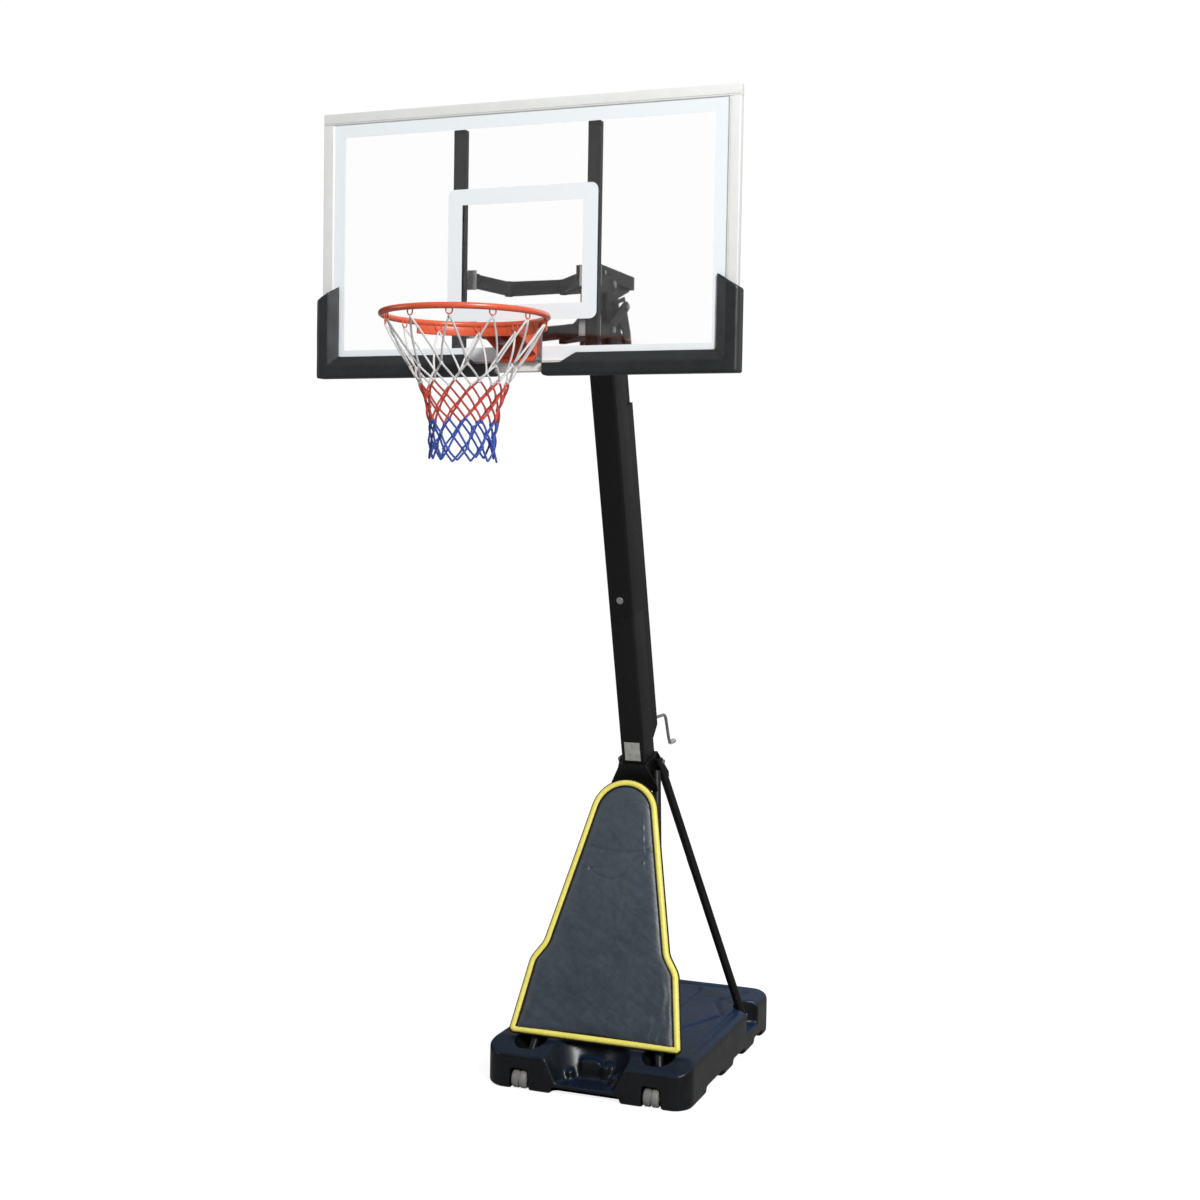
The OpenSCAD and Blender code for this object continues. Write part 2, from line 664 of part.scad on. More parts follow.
module target_square() {
  color("white") translate([0, panel_y, target_z0 + target_h / 2]) rotate([90, 0, 0]) linear_extrude(skin)
    difference() {
      rounded_rect(target_w, target_h, target_r);
      square([target_w - 2 * target_line, target_h - 2 * target_line], center = true);
    }
}
module back_bar(x) {
  difference() {
    block([x - bar_w / 2, board_back, board_z0 + 4], [x + bar_w / 2, bar_back, board_z1 - 71]);
    block([x - bar_w / 2 + 2, board_back + 2, board_z0 + 6],
      [x + bar_w / 2 - 2, bar_back - 2, board_z1 - 73]);
  }
}
module back_bar_left() { color(STEEL) back_bar(-bar_x); }
module back_bar_right() { color(STEEL) back_bar(bar_x); }
cross_h = 30;
module cross_bars() {
  inner = bar_x - bar_w / 2;
  z = board_z0 + 4;
  y = bar_back - 4;
  color(STEEL) {
    block([-inner, board_back, z], [inner, y, z + cross_h]);
    mirrored() block([bar_x + bar_w / 2, board_back, z], [rail_in, y, z + cross_h]);
  }
}
clevis_t = 4;
module arm_brackets() {
  gap = arm_w / 2 + slack;
  color(SILVER) mirrored() for (dz = [0, link_gap]) difference() {
    union() {
      block([arm_end_x - gap - clevis_t, bar_back, board_pivot[1] + dz - 30],
        [bar_x + bar_w / 2, bar_back + 4, board_pivot[1] + dz + 30]);
      block([arm_end_x + gap, bar_back, board_pivot[1] + dz - 15],
        [arm_end_x + gap + clevis_t, board_pivot[0], board_pivot[1] + dz + 15]);
      at_yz(board_pivot + [0, dz]) rod_x(30, arm_end_x + gap, arm_end_x + gap + clevis_t);
    }
    at_yz(board_pivot + [0, dz]) rod_x(pivot_d, 0, 300);
  }
}
module bracket_bolts() {
  head_x = arm_end_x + arm_w / 2 + slack + clevis_t;
  color(SILVER) mirrored() for (dz = [0, link_gap]) at_yz(board_pivot + [0, dz]) {
    rod_x(pivot_d, arm_end_x - arm_w / 2 + 1, head_x + 3);
    translate([head_x, 0, 0]) rotate([0, 90, 0]) hex_head(20, 7);
  }
}
// ---------------------------------------------------------------- board pads
pad_out = 12;
pad_front = 22;
pad_band = 58;
pad_side_in = 64;
// The pad's section as [u, v]: u runs in from the frame's edge, v runs forward from the frame's face.
function pad_section(width) = [[-pad_out, -rail_d], [-pad_out, pad_front - 8], [-pad_out + 8, pad_front],
  [width * 0.45, pad_front], [width, 1], [width, 0], [0, 0], [0, -rail_d]];
module board_pad() {
  x1 = board_w / 2;
  inner = x1 - pad_side_in;
  color(CHARCOAL) difference() {
    union() {
      plate_x(plate_w / 2 + 4, x1)
        polygon([for (p = pad_section(pad_band)) [board_y - p[1], board_z0 + p[0]]]);
      translate([0, 0, board_z0 - pad_out]) linear_extrude(290 + pad_out)
        polygon([for (p = pad_section(pad_side_in)) [x1 - p[0], board_y - p[1]]]);
      block([x1 - 1, board_y - pad_front + 8, board_z0 - pad_out], [x1 + pad_out, board_back, board_z0]);
    }
    // The slanted top of the side and the slanted inner end of the bottom band.
    translate([0, board_y + 50, 0]) rotate([90, 0, 0]) linear_extrude(100) {
      polygon([[inner - 10, board_z0 + 286], [x1 + 40, board_z0 + 214], [x1 + 40, board_z1],
        [inner - 10, board_z1]]);
      polygon([[plate_w / 2, board_z0 + 26], [140, board_z0 + 26], [190, board_z0 + 62],
        [plate_w / 2, board_z0 + 62]]);
    }
  }
}
module board_pad_right() { board_pad(); }
module board_pad_left() { side(-1) board_pad(); }
// ---------------------------------------------------------------- ring
ring_r = (ring_inner_d + ring_rod_d) / 2;
ring_y = board_y - 151 - ring_r;
plate_z0 = rim_height - 98;
plate_h = 96;
base_t = 4;
plate_t = 5;
plate_y = board_y - base_t;
rim_pivot = [plate_y - 8, plate_z0 + 8];
spring_z = rim_height - 36;
spring_x = 42;
spring_d = 22;
spring_l = 40;

module rim_base_plate() {
  color(SILVER) difference() {
    union() {
      block([-plate_w / 2, plate_y, plate_z0], [plate_w / 2, board_y, plate_z0 + plate_h]);
      mirrored() block([plate_w / 2 - 14, rim_pivot[0] - 9, plate_z0],
        [plate_w / 2 - 10, plate_y, plate_z0 + 17]);
    }
    at_yz(rim_pivot) rod_x(7, -100, 100);
  }
}
module rim_spring_bolts() {
  color(SILVER) {
    mirrored() translate([spring_x, 0, spring_z]) rotate([90, 0, 0]) {
      translate([0, 0, -plate_y]) cylinder(d = 9, h = 56);
      translate([0, 0, -plate_y + 50]) hex_head(18, 7);
      translate([0, 0, -plate_y + 47]) cylinder(d = 24, h = 3);
    }
    at_yz(rim_pivot) rod_x(7, -plate_w / 2 + 2, plate_w / 2 - 2);
  }
}
module rim_springs() {
  color(SILVER) mirrored() translate([spring_x, plate_y - plate_t - 1, spring_z]) rotate([90, 0, 0])
    difference() {
      cylinder(d = spring_d, h = spring_l);
      translate([0, 0, -1]) cylinder(d = spring_d - 6, h = spring_l + 2);
    }
}
module rim_plate() {
  y1 = plate_y - 0.5;
  y0 = y1 - plate_t;
  w = plate_w / 2 - 16;
  color(ORANGE) difference() {
    union() {
      block([-w, y0, rim_pivot[1]], [w, y1, plate_z0 + plate_h]);
      at_yz(rim_pivot) rod_x(15, -w, w);
      // top shelf to the ring and the two side gussets
      block([-w, ring_y + ring_r, rim_height - 8], [w, y1, rim_height - 3]);
      mirrored() plate_x(w - 4, w)
        polygon([[y0, rim_height - 3], [ring_y + ring_r, rim_height - 3],
          [ring_y + ring_r, rim_height - 22], [y0, plate_z0 + 24]]);
    }
    at_yz(rim_pivot) rod_x(7 + 2 * fit, -200, 200);
    mirrored() translate([spring_x, 0, spring_z]) rotate([90, 0, 0])
      translate([0, 0, -plate_y - 2]) cylinder(d = 16, h = 12);
    translate([0, ring_y, rim_height]) ring_rod();
  }
}
module ring_rod() { rotate_extrude($fn = 96) translate([ring_r, 0]) circle(d = ring_rod_d); }
module rim_ring() { color(ORANGE) translate([0, ring_y, rim_height]) ring_rod(); }
brace_half = 62;
module rim_brace() {
  color(ORANGE) difference() {
    translate([0, ring_y, rim_height - 34]) rotate(90 - brace_half)
      rotate_extrude(angle = 2 * brace_half, $fn = 96) translate([ring_r - 4, 0]) square([5, 26]);
    translate([0, ring_y, rim_height]) ring_rod();
  }
}
hook_r = 9;
hook_wire_d = 4;
hook_in = 6.5;
hook_drop = ring_rod_d / 2 + 4;
hook_leg = hook_drop - sqrt(pow(ring_rod_d / 2, 2) - pow(hook_in - hook_wire_d / 2, 2)) + 0.25;

module hook() {
  rotate([90, 0, 90]) rotate([0, 0, 180]) rotate_extrude(angle = 180, $fn = 24)
    translate([hook_r, 0]) circle(d = hook_wire_d);
  for (y = [-hook_r, hook_r]) translate([0, y, 0]) cylinder(d = hook_wire_d, h = hook_leg);
}
module net_hooks() {
  color(ORANGE) translate([0, ring_y, rim_height]) for (i = [0 : hook_count - 1])
    rotate((i + 0.5) * 360 / hook_count) translate([ring_r - hook_in, 0, -hook_drop]) hook();
}
// Half of the net's section as [radius, height below the ring], inside wall; it is net_t thick.
net_t = 4;
net_drop = 22;
net_side = [[ring_r - 14, -net_drop], [120, -195], [92, -300], [94, -net_h]];
module net() {
  outside = [for (i = [len(net_side) - 1 : -1 : 0]) net_side[i] + [net_t, 0]];
  color("white") translate([0, ring_y, rim_height]) rotate_extrude() polygon(concat(net_side, outside));
}

base_tank();
ballast_sand();
fill_cap();
wheel_left();
wheel_right();
wheel_axles();
front_leg_left();
front_leg_right();
rear_strut_left();
rear_strut_right();
leg_bolts();
pole_socket();
pole_lower();
pole_upper();
pole_sleeve();
pole_bolt();
head_cheek_left();
head_cheek_right();
head_top();
head_bolts();
arm_pivot_bolts();
jack_channel();
gear_case();
lead_screw();
crank_shaft();
crank_grip();
push_tube();
screw_nut();
lift_yoke();
blank_labels();
pole_pad();
pad_piping();
pad_straps();
lower_arm_left();
lower_arm_right();
tail_pins();
upper_arm_left();
upper_arm_right();
frame_top();
frame_bottom();
frame_left();
frame_right();
clear_panel();
border_line();
target_square();
back_bar_left();
back_bar_right();
cross_bars();
arm_brackets();
bracket_bolts();
board_pad_left();
board_pad_right();
rim_base_plate();
rim_spring_bolts();
rim_springs();
rim_plate();
rim_ring();
rim_brace();
net_hooks();
net();
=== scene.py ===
"""Looks of a portable basketball hoop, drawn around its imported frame.

Places come from the frame's own boxes and joints, in metres. Front is -Y, up is +Z, and the origin
is the middle of the base tank's footprint on the ground.
"""
import json
import logging
import math
from dataclasses import dataclass, field
from enum import Enum
from typing import Sequence

import bmesh
import bpy
import numpy as np
from mathutils import Matrix, Vector


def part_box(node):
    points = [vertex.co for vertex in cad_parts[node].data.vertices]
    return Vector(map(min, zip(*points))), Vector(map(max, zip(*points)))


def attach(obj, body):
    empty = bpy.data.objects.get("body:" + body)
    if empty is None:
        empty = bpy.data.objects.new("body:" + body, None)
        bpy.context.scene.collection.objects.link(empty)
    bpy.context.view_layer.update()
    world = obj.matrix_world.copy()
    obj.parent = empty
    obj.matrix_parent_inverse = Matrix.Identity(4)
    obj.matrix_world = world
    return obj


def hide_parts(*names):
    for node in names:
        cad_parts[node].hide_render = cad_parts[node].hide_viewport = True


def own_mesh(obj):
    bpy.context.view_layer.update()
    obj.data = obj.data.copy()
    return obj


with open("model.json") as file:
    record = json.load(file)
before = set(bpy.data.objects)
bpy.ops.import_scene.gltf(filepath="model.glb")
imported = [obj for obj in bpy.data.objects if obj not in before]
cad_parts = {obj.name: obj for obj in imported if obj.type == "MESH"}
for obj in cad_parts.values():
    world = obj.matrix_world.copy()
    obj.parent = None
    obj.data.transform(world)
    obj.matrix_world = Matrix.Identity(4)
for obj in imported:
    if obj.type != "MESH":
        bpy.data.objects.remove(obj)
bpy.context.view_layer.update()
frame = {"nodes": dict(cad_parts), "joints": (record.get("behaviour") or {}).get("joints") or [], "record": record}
LOG = logging.getLogger("hoop")
Array = np.ndarray
Colour = tuple[float, float, float]
TURN = 2.0 * math.pi


# ------------------------------------------------------------------ meshes

def unit(v: Array) -> Array:
    """Scales each row of an array of vectors to length one.

    Args:
        v: Vectors in the last axis.

    Returns:
        The unit vectors.
    """
    return v / np.maximum(np.linalg.norm(v, axis=-1, keepdims=True), 1e-12)


def grid_quads(rows: int, cols: int, wrap_rows: bool, wrap_cols: bool) -> Array:
    """Indexes the quads of a rows by cols grid of points, row after row.

    Quad (i, j) joins the points (i, j), (i, j+1), (i+1, j+1), (i+1, j), with the indices taken
    modulo the size on an axis that wraps round.

    Args:
        rows: Points along the first parameter.
        cols: Points along the second parameter.
        wrap_rows: Whether the last row joins the first.
        wrap_cols: Whether the last column joins the first.

    Returns:
        An array of four point indices for each quad.
    """
    i = np.arange(rows if wrap_rows else rows - 1)[:, None]
    j = np.arange(cols if wrap_cols else cols - 1)[None, :]
    i2, j2 = (i + 1) % rows, (j + 1) % cols
    quads = np.stack([i * cols + j, i * cols + j2, i2 * cols + j2, i2 * cols + j], axis=-1)
    return quads.reshape(-1, 4)


def mesh_object(name: str, points: Array, faces: Sequence, smooth: bool = True) -> bpy.types.Object:
    """Makes a mesh object at the origin from points and faces.

    Args:
        name: The piece's name.
        points: An (n, 3) array of points in metres.
        faces: Point indices of each face.
        smooth: Whether the faces are shaded smooth.

    Returns:
        The new object, linked to the scene.
    """
    mesh = bpy.data.meshes.new(name)
    mesh.from_pydata(points.reshape(-1, 3).tolist(), [], [list(map(int, f)) for f in faces])
    mesh.validate()
    mesh.polygons.foreach_set("use_smooth", np.full(len(mesh.polygons), smooth))
    obj = bpy.data.objects.new(name, mesh)
    bpy.context.collection.objects.link(obj)
    return obj


def tidy(obj: bpy.types.Object, distance: float = 1e-5) -> bpy.types.Object:
    """Merges doubled points and turns the faces outwards.

    Args:
        obj: A mesh object.
        distance: Points closer than this are merged.

    Returns:
        The same object.
    """
    bm = bmesh.new()
    bm.from_mesh(obj.data)
    bmesh.ops.remove_doubles(bm, verts=bm.verts, dist=distance)
    bmesh.ops.recalc_face_normals(bm, faces=bm.faces)
    bm.to_mesh(obj.data)
    bm.free()
    return obj


def add_uv(obj: bpy.types.Object, uv: Array) -> None:
    """Writes one UV pair for each point of a mesh as its UV map.

    Args:
        obj: A mesh object.
        uv: An (n, 2) array, one row for each point.
    """
    mesh = obj.data
    corner = np.empty(len(mesh.loops), dtype=np.int64)
    mesh.loops.foreach_get("vertex_index", corner)
    layer = mesh.uv_layers.new(name="UVMap")
    layer.data.foreach_set("uv", uv[corner].astype(np.float32).ravel())


def tubes(name: str, paths: Array, radius: float, sides: int, reference: Array,
          closed: bool = False) -> bpy.types.Object:
    """Sweeps a round section along several paths of equal length.

    At each path point the section is centre + radius (cos a n + sin a b), where n is the reference
    made square to the path, b is the path's direction crossed with n, and a runs once round.

    Args:
        name: The piece's name.
        paths: A (paths, points, 3) array.
        radius: The section's radius.
        sides: Points round the section.
        reference: Directions that broadcast to the paths, never along them.
        closed: Whether each path joins its own start.

    Returns:
        One mesh object with every tube, and a UV map of (turns round, metres along).
    """
    count, length, _ = paths.shape
    if closed:
        along = np.roll(paths, -1, axis=1) - np.roll(paths, 1, axis=1)
    else:
        along = np.gradient(paths, axis=1)
    t = unit(along)
    ref = np.broadcast_to(reference, paths.shape)
    n = unit(ref - (ref * t).sum(-1, keepdims=True) * t)
    b = np.cross(t, n)
    a = np.arange(sides) * TURN / sides
    ring = np.cos(a)[:, None] * n[:, :, None, :] + np.sin(a)[:, None] * b[:, :, None, :]
    points = paths[:, :, None, :] + radius * ring
    quads = grid_quads(length, sides, closed, True)
    block = length * sides
    faces = (quads[None] + (np.arange(count) * block)[:, None, None]).reshape(-1, 4).tolist()
    if not closed:
        start = np.arange(count)[:, None] * block
        faces += (start + np.arange(sides)[::-1]).tolist()
        faces += (start + block - sides + np.arange(sides)).tolist()
    obj = mesh_object(name, points, faces)
    step = np.linalg.norm(np.diff(paths, axis=1, prepend=paths[:, :1]), axis=-1).cumsum(axis=1)
    uv = np.stack(np.broadcast_arrays((np.arange(sides) / sides)[None, None, :], step[:, :, None]), -1)
    add_uv(obj, uv.reshape(-1, 2))
    return tidy(obj)


def lathe(name: str, profile: Array, centre: Array, axis: Array, segments: int = 48) -> bpy.types.Object:
    """Turns a closed outline round an axis.

    Point (i, a) is centre + h_i axis + r_i (cos a e + sin a f), where e and f are square to the axis.

    Args:
        name: The piece's name.
        profile: An (n, 2) array of radius and height, a closed outline in order.
        centre: A point on the axis.
        axis: The axis's direction.
        segments: Steps round the axis.

    Returns:
        The turned object.
    """
    w = unit(np.asarray(axis, float))
    e = unit(np.cross(w, [0.0, 0.0, 1.0] if abs(w[2]) < 0.9 else [1.0, 0.0, 0.0]))
    f = np.cross(w, e)
    a = np.arange(segments) * TURN / segments
    spoke = np.cos(a)[:, None] * e + np.sin(a)[:, None] * f
    r, h = profile[:, 0], profile[:, 1]
    points = np.asarray(centre) + h[:, None, None] * w + r[:, None, None] * spoke[None]
    return tidy(mesh_object(name, points, grid_quads(len(profile), segments, True, True)))


def rounded_path(corners: Array, radius: float, steps: int) -> Array:
    """Rounds the inner corners of an open path.

    Each corner becomes the quadratic curve (1-s)^2 a + 2 s (1-s) c + s^2 b between the points a and
    b that lie one radius before and after the corner c.

    Args:
        corners: An (n, 3) array.
        radius: Distance from a corner at which its curve starts.
        steps: Points on each curve.

    Returns:
        The rounded path's points.
    """
    c = corners[1:-1]
    a = c + radius * unit(corners[:-2] - c)
    b = c + radius * unit(corners[2:] - c)
    s = np.linspace(0, 1, steps)[None, :, None]
    arcs = (1 - s) ** 2 * a[:, None] + 2 * s * (1 - s) * c[:, None] + s ** 2 * b[:, None]
    return np.vstack([corners[:1], arcs.reshape(-1, 3), corners[-1:]])


def even_steps(path: Array, step: float) -> Array:
    """Places points at even distances along a path.

    Args:
        path: An (n, 3) array.
        step: The wanted distance.

    Returns:
        The new points, with both ends kept.
    """
    at = np.concatenate([[0.0], np.linalg.norm(np.diff(path, axis=0), axis=1).cumsum()])
    wanted = np.linspace(0, at[-1], max(2, int(round(at[-1] / step)) + 1))
    return np.stack([np.interp(wanted, at, path[:, k]) for k in range(3)], axis=1)


def softened(node: str, width: float, segments: int = 3, name: str = "") -> bpy.types.Object:
    """Copies a frame node and rounds its edges, as folded, cast or moulded stock has them.

    Args:
        node: The node's name.
        width: Radius of the rounding in metres.
        segments: Steps across a rounded edge.
        name: The piece's name, or the node's name with "_body".

    Returns:
        The copy, which stands for the node.
    """
    source = frame["nodes"][node]
    mesh = source.data.copy()
    obj = bpy.data.objects.new(name or node + "_body", mesh)
    bpy.context.collection.objects.link(obj)
    bm = bmesh.new()
    bm.from_mesh(mesh)
    bmesh.ops.remove_doubles(bm, verts=bm.verts, dist=1e-5)
    bmesh.ops.dissolve_limit(bm, angle_limit=math.radians(0.5), verts=bm.verts, edges=bm.edges)
    bm.to_mesh(mesh)
    bm.free()
    mesh.materials.clear()
    mesh.polygons.foreach_set("use_smooth", np.full(len(mesh.polygons), True))
    mesh.set_sharp_from_angle(angle=math.radians(32))
    bevel = obj.modifiers.new("round", "BEVEL")
    bevel.width = width
    bevel.segments = segments
    bevel.limit_method = "ANGLE"
    bevel.angle_limit = math.radians(32)
    bevel.harden_normals = True
    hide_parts(node)
    return obj


def dress(obj: bpy.types.Object, material: bpy.types.Material, body: str) -> None:
    """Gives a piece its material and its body.

    Args:
        obj: The piece.
        material: Its material.
        body: The frame body it moves with.
    """
    obj.data.materials.clear()
    obj.data.materials.append(material)
    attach(obj, body)
    LOG.info("%s rides on %s", obj.name, body)


# ------------------------------------------------------------------ finishes

class Graph:
    """A short way to add and link nodes in one tree."""

    def __init__(self, tree: bpy.types.NodeTree) -> None:
        """Starts on an empty tree."""
        self.tree = tree
        tree.nodes.clear()

    def add(self, kind: str, inputs: dict | None = None, **settings: object) -> bpy.types.Node:
        """Adds a node, sets its properties and fills or links its inputs.

        Args:
            kind: The node's type name.
            inputs: Values or output sockets by input name or number.
            settings: Properties of the node.

        Returns:
            The node.
        """
        node = self.tree.nodes.new(kind)
        for key, value in settings.items():
            setattr(node, key, value)
        for key, value in (inputs or {}).items():
            if isinstance(value, bpy.types.NodeSocket):
                self.tree.links.new(value, node.inputs[key])
            else:
                node.inputs[key].default_value = value
        return node


class Effect(Enum):
    """The shared effects, each one a node group."""

    MOTTLE = "mottle"
    GRAIN = "grain"
    SETTLED = "settled_dust_and_painted_sheen"
    STREAKS = "streaks"
    BRAID = "braid"


class Effects:
    """Builds each shared effect once, as a group with named inputs and outputs."""

    def __init__(self) -> None:
        """Starts with no groups built."""
        self._built: dict[Effect, bpy.types.NodeTree] = {}

    def _new(self, effect: Effect, takes: dict[str, object],
             gives: dict[str, str]) -> tuple[Graph, object, object]:
        """Starts a group.

        Args:
            effect: Which effect it is.
            takes: Input names with their default: a float, a colour, or None for a vector.
            gives: Output names with their socket types.

        Returns:
            The graph, the group's input node and its output node.
        """
        tree = bpy.data.node_groups.new(effect.value, "ShaderNodeTree")
        for key, default in takes.items():
            kind = "Float" if isinstance(default, float) else "Vector" if default is None else "Color"
            item = tree.interface.new_socket(key, in_out="INPUT", socket_type="NodeSocket" + kind)
            if default is not None:
                item.default_value = default
        for key, kind in gives.items():
            tree.interface.new_socket(key, in_out="OUTPUT", socket_type="NodeSocket" + kind)
        graph = Graph(tree)
        self._built[effect] = tree
        return graph, graph.add("NodeGroupInput"), graph.add("NodeGroupOutput")

    def tree(self, effect: Effect) -> bpy.types.NodeTree:
        """Returns an effect's group, built on its first use."""
        if effect not in self._built:
            getattr(self, "_" + effect.name.lower())()
        return self._built[effect]

    def _mottle(self) -> None:
        """Two scales of soft noise, mixed into a colour and a value between Low and High."""
        g, i, o = self._new(Effect.MOTTLE, {
            "Vector": None, "Scale": 6.0, "Low": 0.3, "High": 0.5,
            "Dark": (0.1, 0.1, 0.1, 1.0), "Light": (0.2, 0.2, 0.2, 1.0)},
            {"Color": "Color", "Value": "Float"})
        wide = g.add("ShaderNodeTexNoise", {"Vector": i.outputs["Vector"], "Scale": i.outputs["Scale"],
                                            "Detail": 4.0, "Roughness": 0.55})
        many = g.add("ShaderNodeMath", {0: i.outputs["Scale"], 1: 9.0}, operation="MULTIPLY")
        small = g.add("ShaderNodeTexNoise", {"Vector": i.outputs["Vector"], "Scale": many.outputs[0],
                                             "Detail": 2.0})
        both = g.add("ShaderNodeMath", {0: wide.outputs["Fac"], 1: small.outputs["Fac"]}, operation="ADD")
        spread = g.add("ShaderNodeMapRange", {"Value": both.outputs[0], "From Min": 0.7, "From Max": 1.3})
        mix = g.add("ShaderNodeMix", {"Factor": spread.outputs[0], 6: i.outputs["Dark"],
                                      7: i.outputs["Light"]}, data_type="RGBA")
        level = g.add("ShaderNodeMapRange", {"Value": spread.outputs[0], "To Min": i.outputs["Low"],
                                             "To Max": i.outputs["High"]})
        g.tree.links.new(mix.outputs[2], o.inputs["Color"])
        g.tree.links.new(level.outputs[0], o.inputs["Value"])

    def _grain(self) -> None:
        """The height of a pebbled skin: rounded cells with fine noise on them."""
        g, i, o = self._new(Effect.GRAIN, {"Vector": None, "Scale": 400.0, "Cells": 0.6}, {"Height": "Float"})
        cell = g.add("ShaderNodeTexVoronoi", {"Vector": i.outputs["Vector"], "Scale": i.outputs["Scale"]},
                     feature="SMOOTH_F1")
        fine = g.add("ShaderNodeTexNoise", {"Vector": i.outputs["Vector"], "Scale": i.outputs["Scale"],
                                            "Detail": 3.0})
        blend = g.add("ShaderNodeMix", {"Factor": i.outputs["Cells"], 2: fine.outputs["Fac"],
                                        3: cell.outputs["Distance"]})
        g.tree.links.new(blend.outputs[0], o.inputs["Height"])

    def _settled(self) -> None:
        """A colour that gives way to a lighter one where the surface faces up, less so at the front: settled dust
        on most finishes, a painted sky sheen on the tank.
        """
        g, i, o = self._new(Effect.SETTLED, {
            "Vector": None, "Color": (0.1, 0.1, 0.1, 1.0), "Dust": (0.35, 0.33, 0.3, 1.0), "Amount": 0.2,
            "Front": 1.0}, {"Color": "Color"})
        facing = g.add("ShaderNodeSeparateXYZ", {0: g.add("ShaderNodeNewGeometry").outputs["Normal"]})
        up = g.add("ShaderNodeMapRange", {"Value": facing.outputs["Z"], "From Min": 0.3, "From Max": 0.85})
        noise = g.add("ShaderNodeTexNoise", {"Vector": i.outputs["Vector"], "Scale": 14.0, "Detail": 6.0,
                                             "Roughness": 0.7})
        patch = g.add("ShaderNodeMapRange", {"Value": noise.outputs["Fac"], "From Min": 0.30,
                                             "From Max": 0.70, "To Min": 0.80, "To Max": 1.0})
        mask = g.add("ShaderNodeMath", {0: up.outputs[0], 1: patch.outputs[0]}, operation="MULTIPLY")
        place = g.add("ShaderNodeSeparateXYZ", {0: i.outputs["Vector"]})
        back = g.add("ShaderNodeMapRange", {"Value": place.outputs["Y"], "From Min": -0.46, "From Max": -0.16,
                                            "To Min": i.outputs["Front"], "To Max": 1.0})
        there = g.add("ShaderNodeMath", {0: mask.outputs[0], 1: back.outputs[0]}, operation="MULTIPLY")
        amount = g.add("ShaderNodeMath", {0: there.outputs[0], 1: i.outputs["Amount"]}, operation="MULTIPLY")
        mix = g.add("ShaderNodeMix", {"Factor": amount.outputs[0], 6: i.outputs["Color"],
                                      7: i.outputs["Dust"]}, data_type="RGBA")
        g.tree.links.new(mix.outputs[2], o.inputs["Color"])

    def _streaks(self) -> None:
        """Noise drawn out along one direction, used for the coated fabric's crease streaks: painted highlight and
        shade in its colour, bumps in its surface.
        """
        g, i, o = self._new(Effect.STREAKS, {"Vector": None, "Scale": 60.0, "Low": 0.0, "High": 1.0},
                            {"Value": "Float"})
        noise = g.add("ShaderNodeTexNoise", {"Vector": i.outputs["Vector"], "Scale": i.outputs["Scale"],
                                             "Detail": 7.0, "Roughness": 0.66, "Distortion": 0.35})
        level = g.add("ShaderNodeMapRange", {"Value": noise.outputs["Fac"], "From Min": 0.3, "From Max": 0.7,
                                             "To Min": i.outputs["Low"], "To Max": i.outputs["High"]})
        g.tree.links.new(level.outputs[0], o.inputs["Value"])

    def _braid(self) -> None:
        """Crossed strands from a map of turns round and metres along: height and a shade."""
        g, i, o = self._new(Effect.BRAID, {"Vector": None, "Around": 4.0, "Along": 160.0},
                            {"Height": "Float", "Shade": "Float"})
        part = g.add("ShaderNodeSeparateXYZ", {0: i.outputs["Vector"]})
        waves = []
        for way in (1.0, -1.0):
            across = g.add("ShaderNodeMath", {0: part.outputs["X"], 1: i.outputs["Around"]},
                           operation="MULTIPLY")
            down = g.add("ShaderNodeMath", {0: part.outputs["Y"], 1: i.outputs["Along"]},
                         operation="MULTIPLY")
            turned = g.add("ShaderNodeMath", {0: down.outputs[0], 1: way}, operation="MULTIPLY")
            phase = g.add("ShaderNodeMath", {0: across.outputs[0], 1: turned.outputs[0]}, operation="ADD")
            angle = g.add("ShaderNodeMath", {0: phase.outputs[0], 1: TURN}, operation="MULTIPLY")
            waves.append(g.add("ShaderNodeMath", {0: angle.outputs[0]}, operation="SINE"))
        top = g.add("ShaderNodeMath", {0: waves[0].outputs[0], 1: waves[1].outputs[0]}, operation="MAXIMUM")
        shade = g.add("ShaderNodeMapRange", {"Value": top.outputs[0], "From Min": -0.6, "From Max": 1.0,
                                             "To Min": 0.72, "To Max": 1.0})
        g.tree.links.new(top.outputs[0], o.inputs["Height"])
        g.tree.links.new(shade.outputs[0], o.inputs["Shade"])


EFFECTS = Effects()


def rgba(colour: Colour, gain: float = 1.0) -> tuple[float, float, float, float]:
    """Returns a colour scaled by gain, with full alpha."""
    return (min(1.0, colour[0] * gain), min(1.0, colour[1] * gain), min(1.0, colour[2] * gain), 1.0)


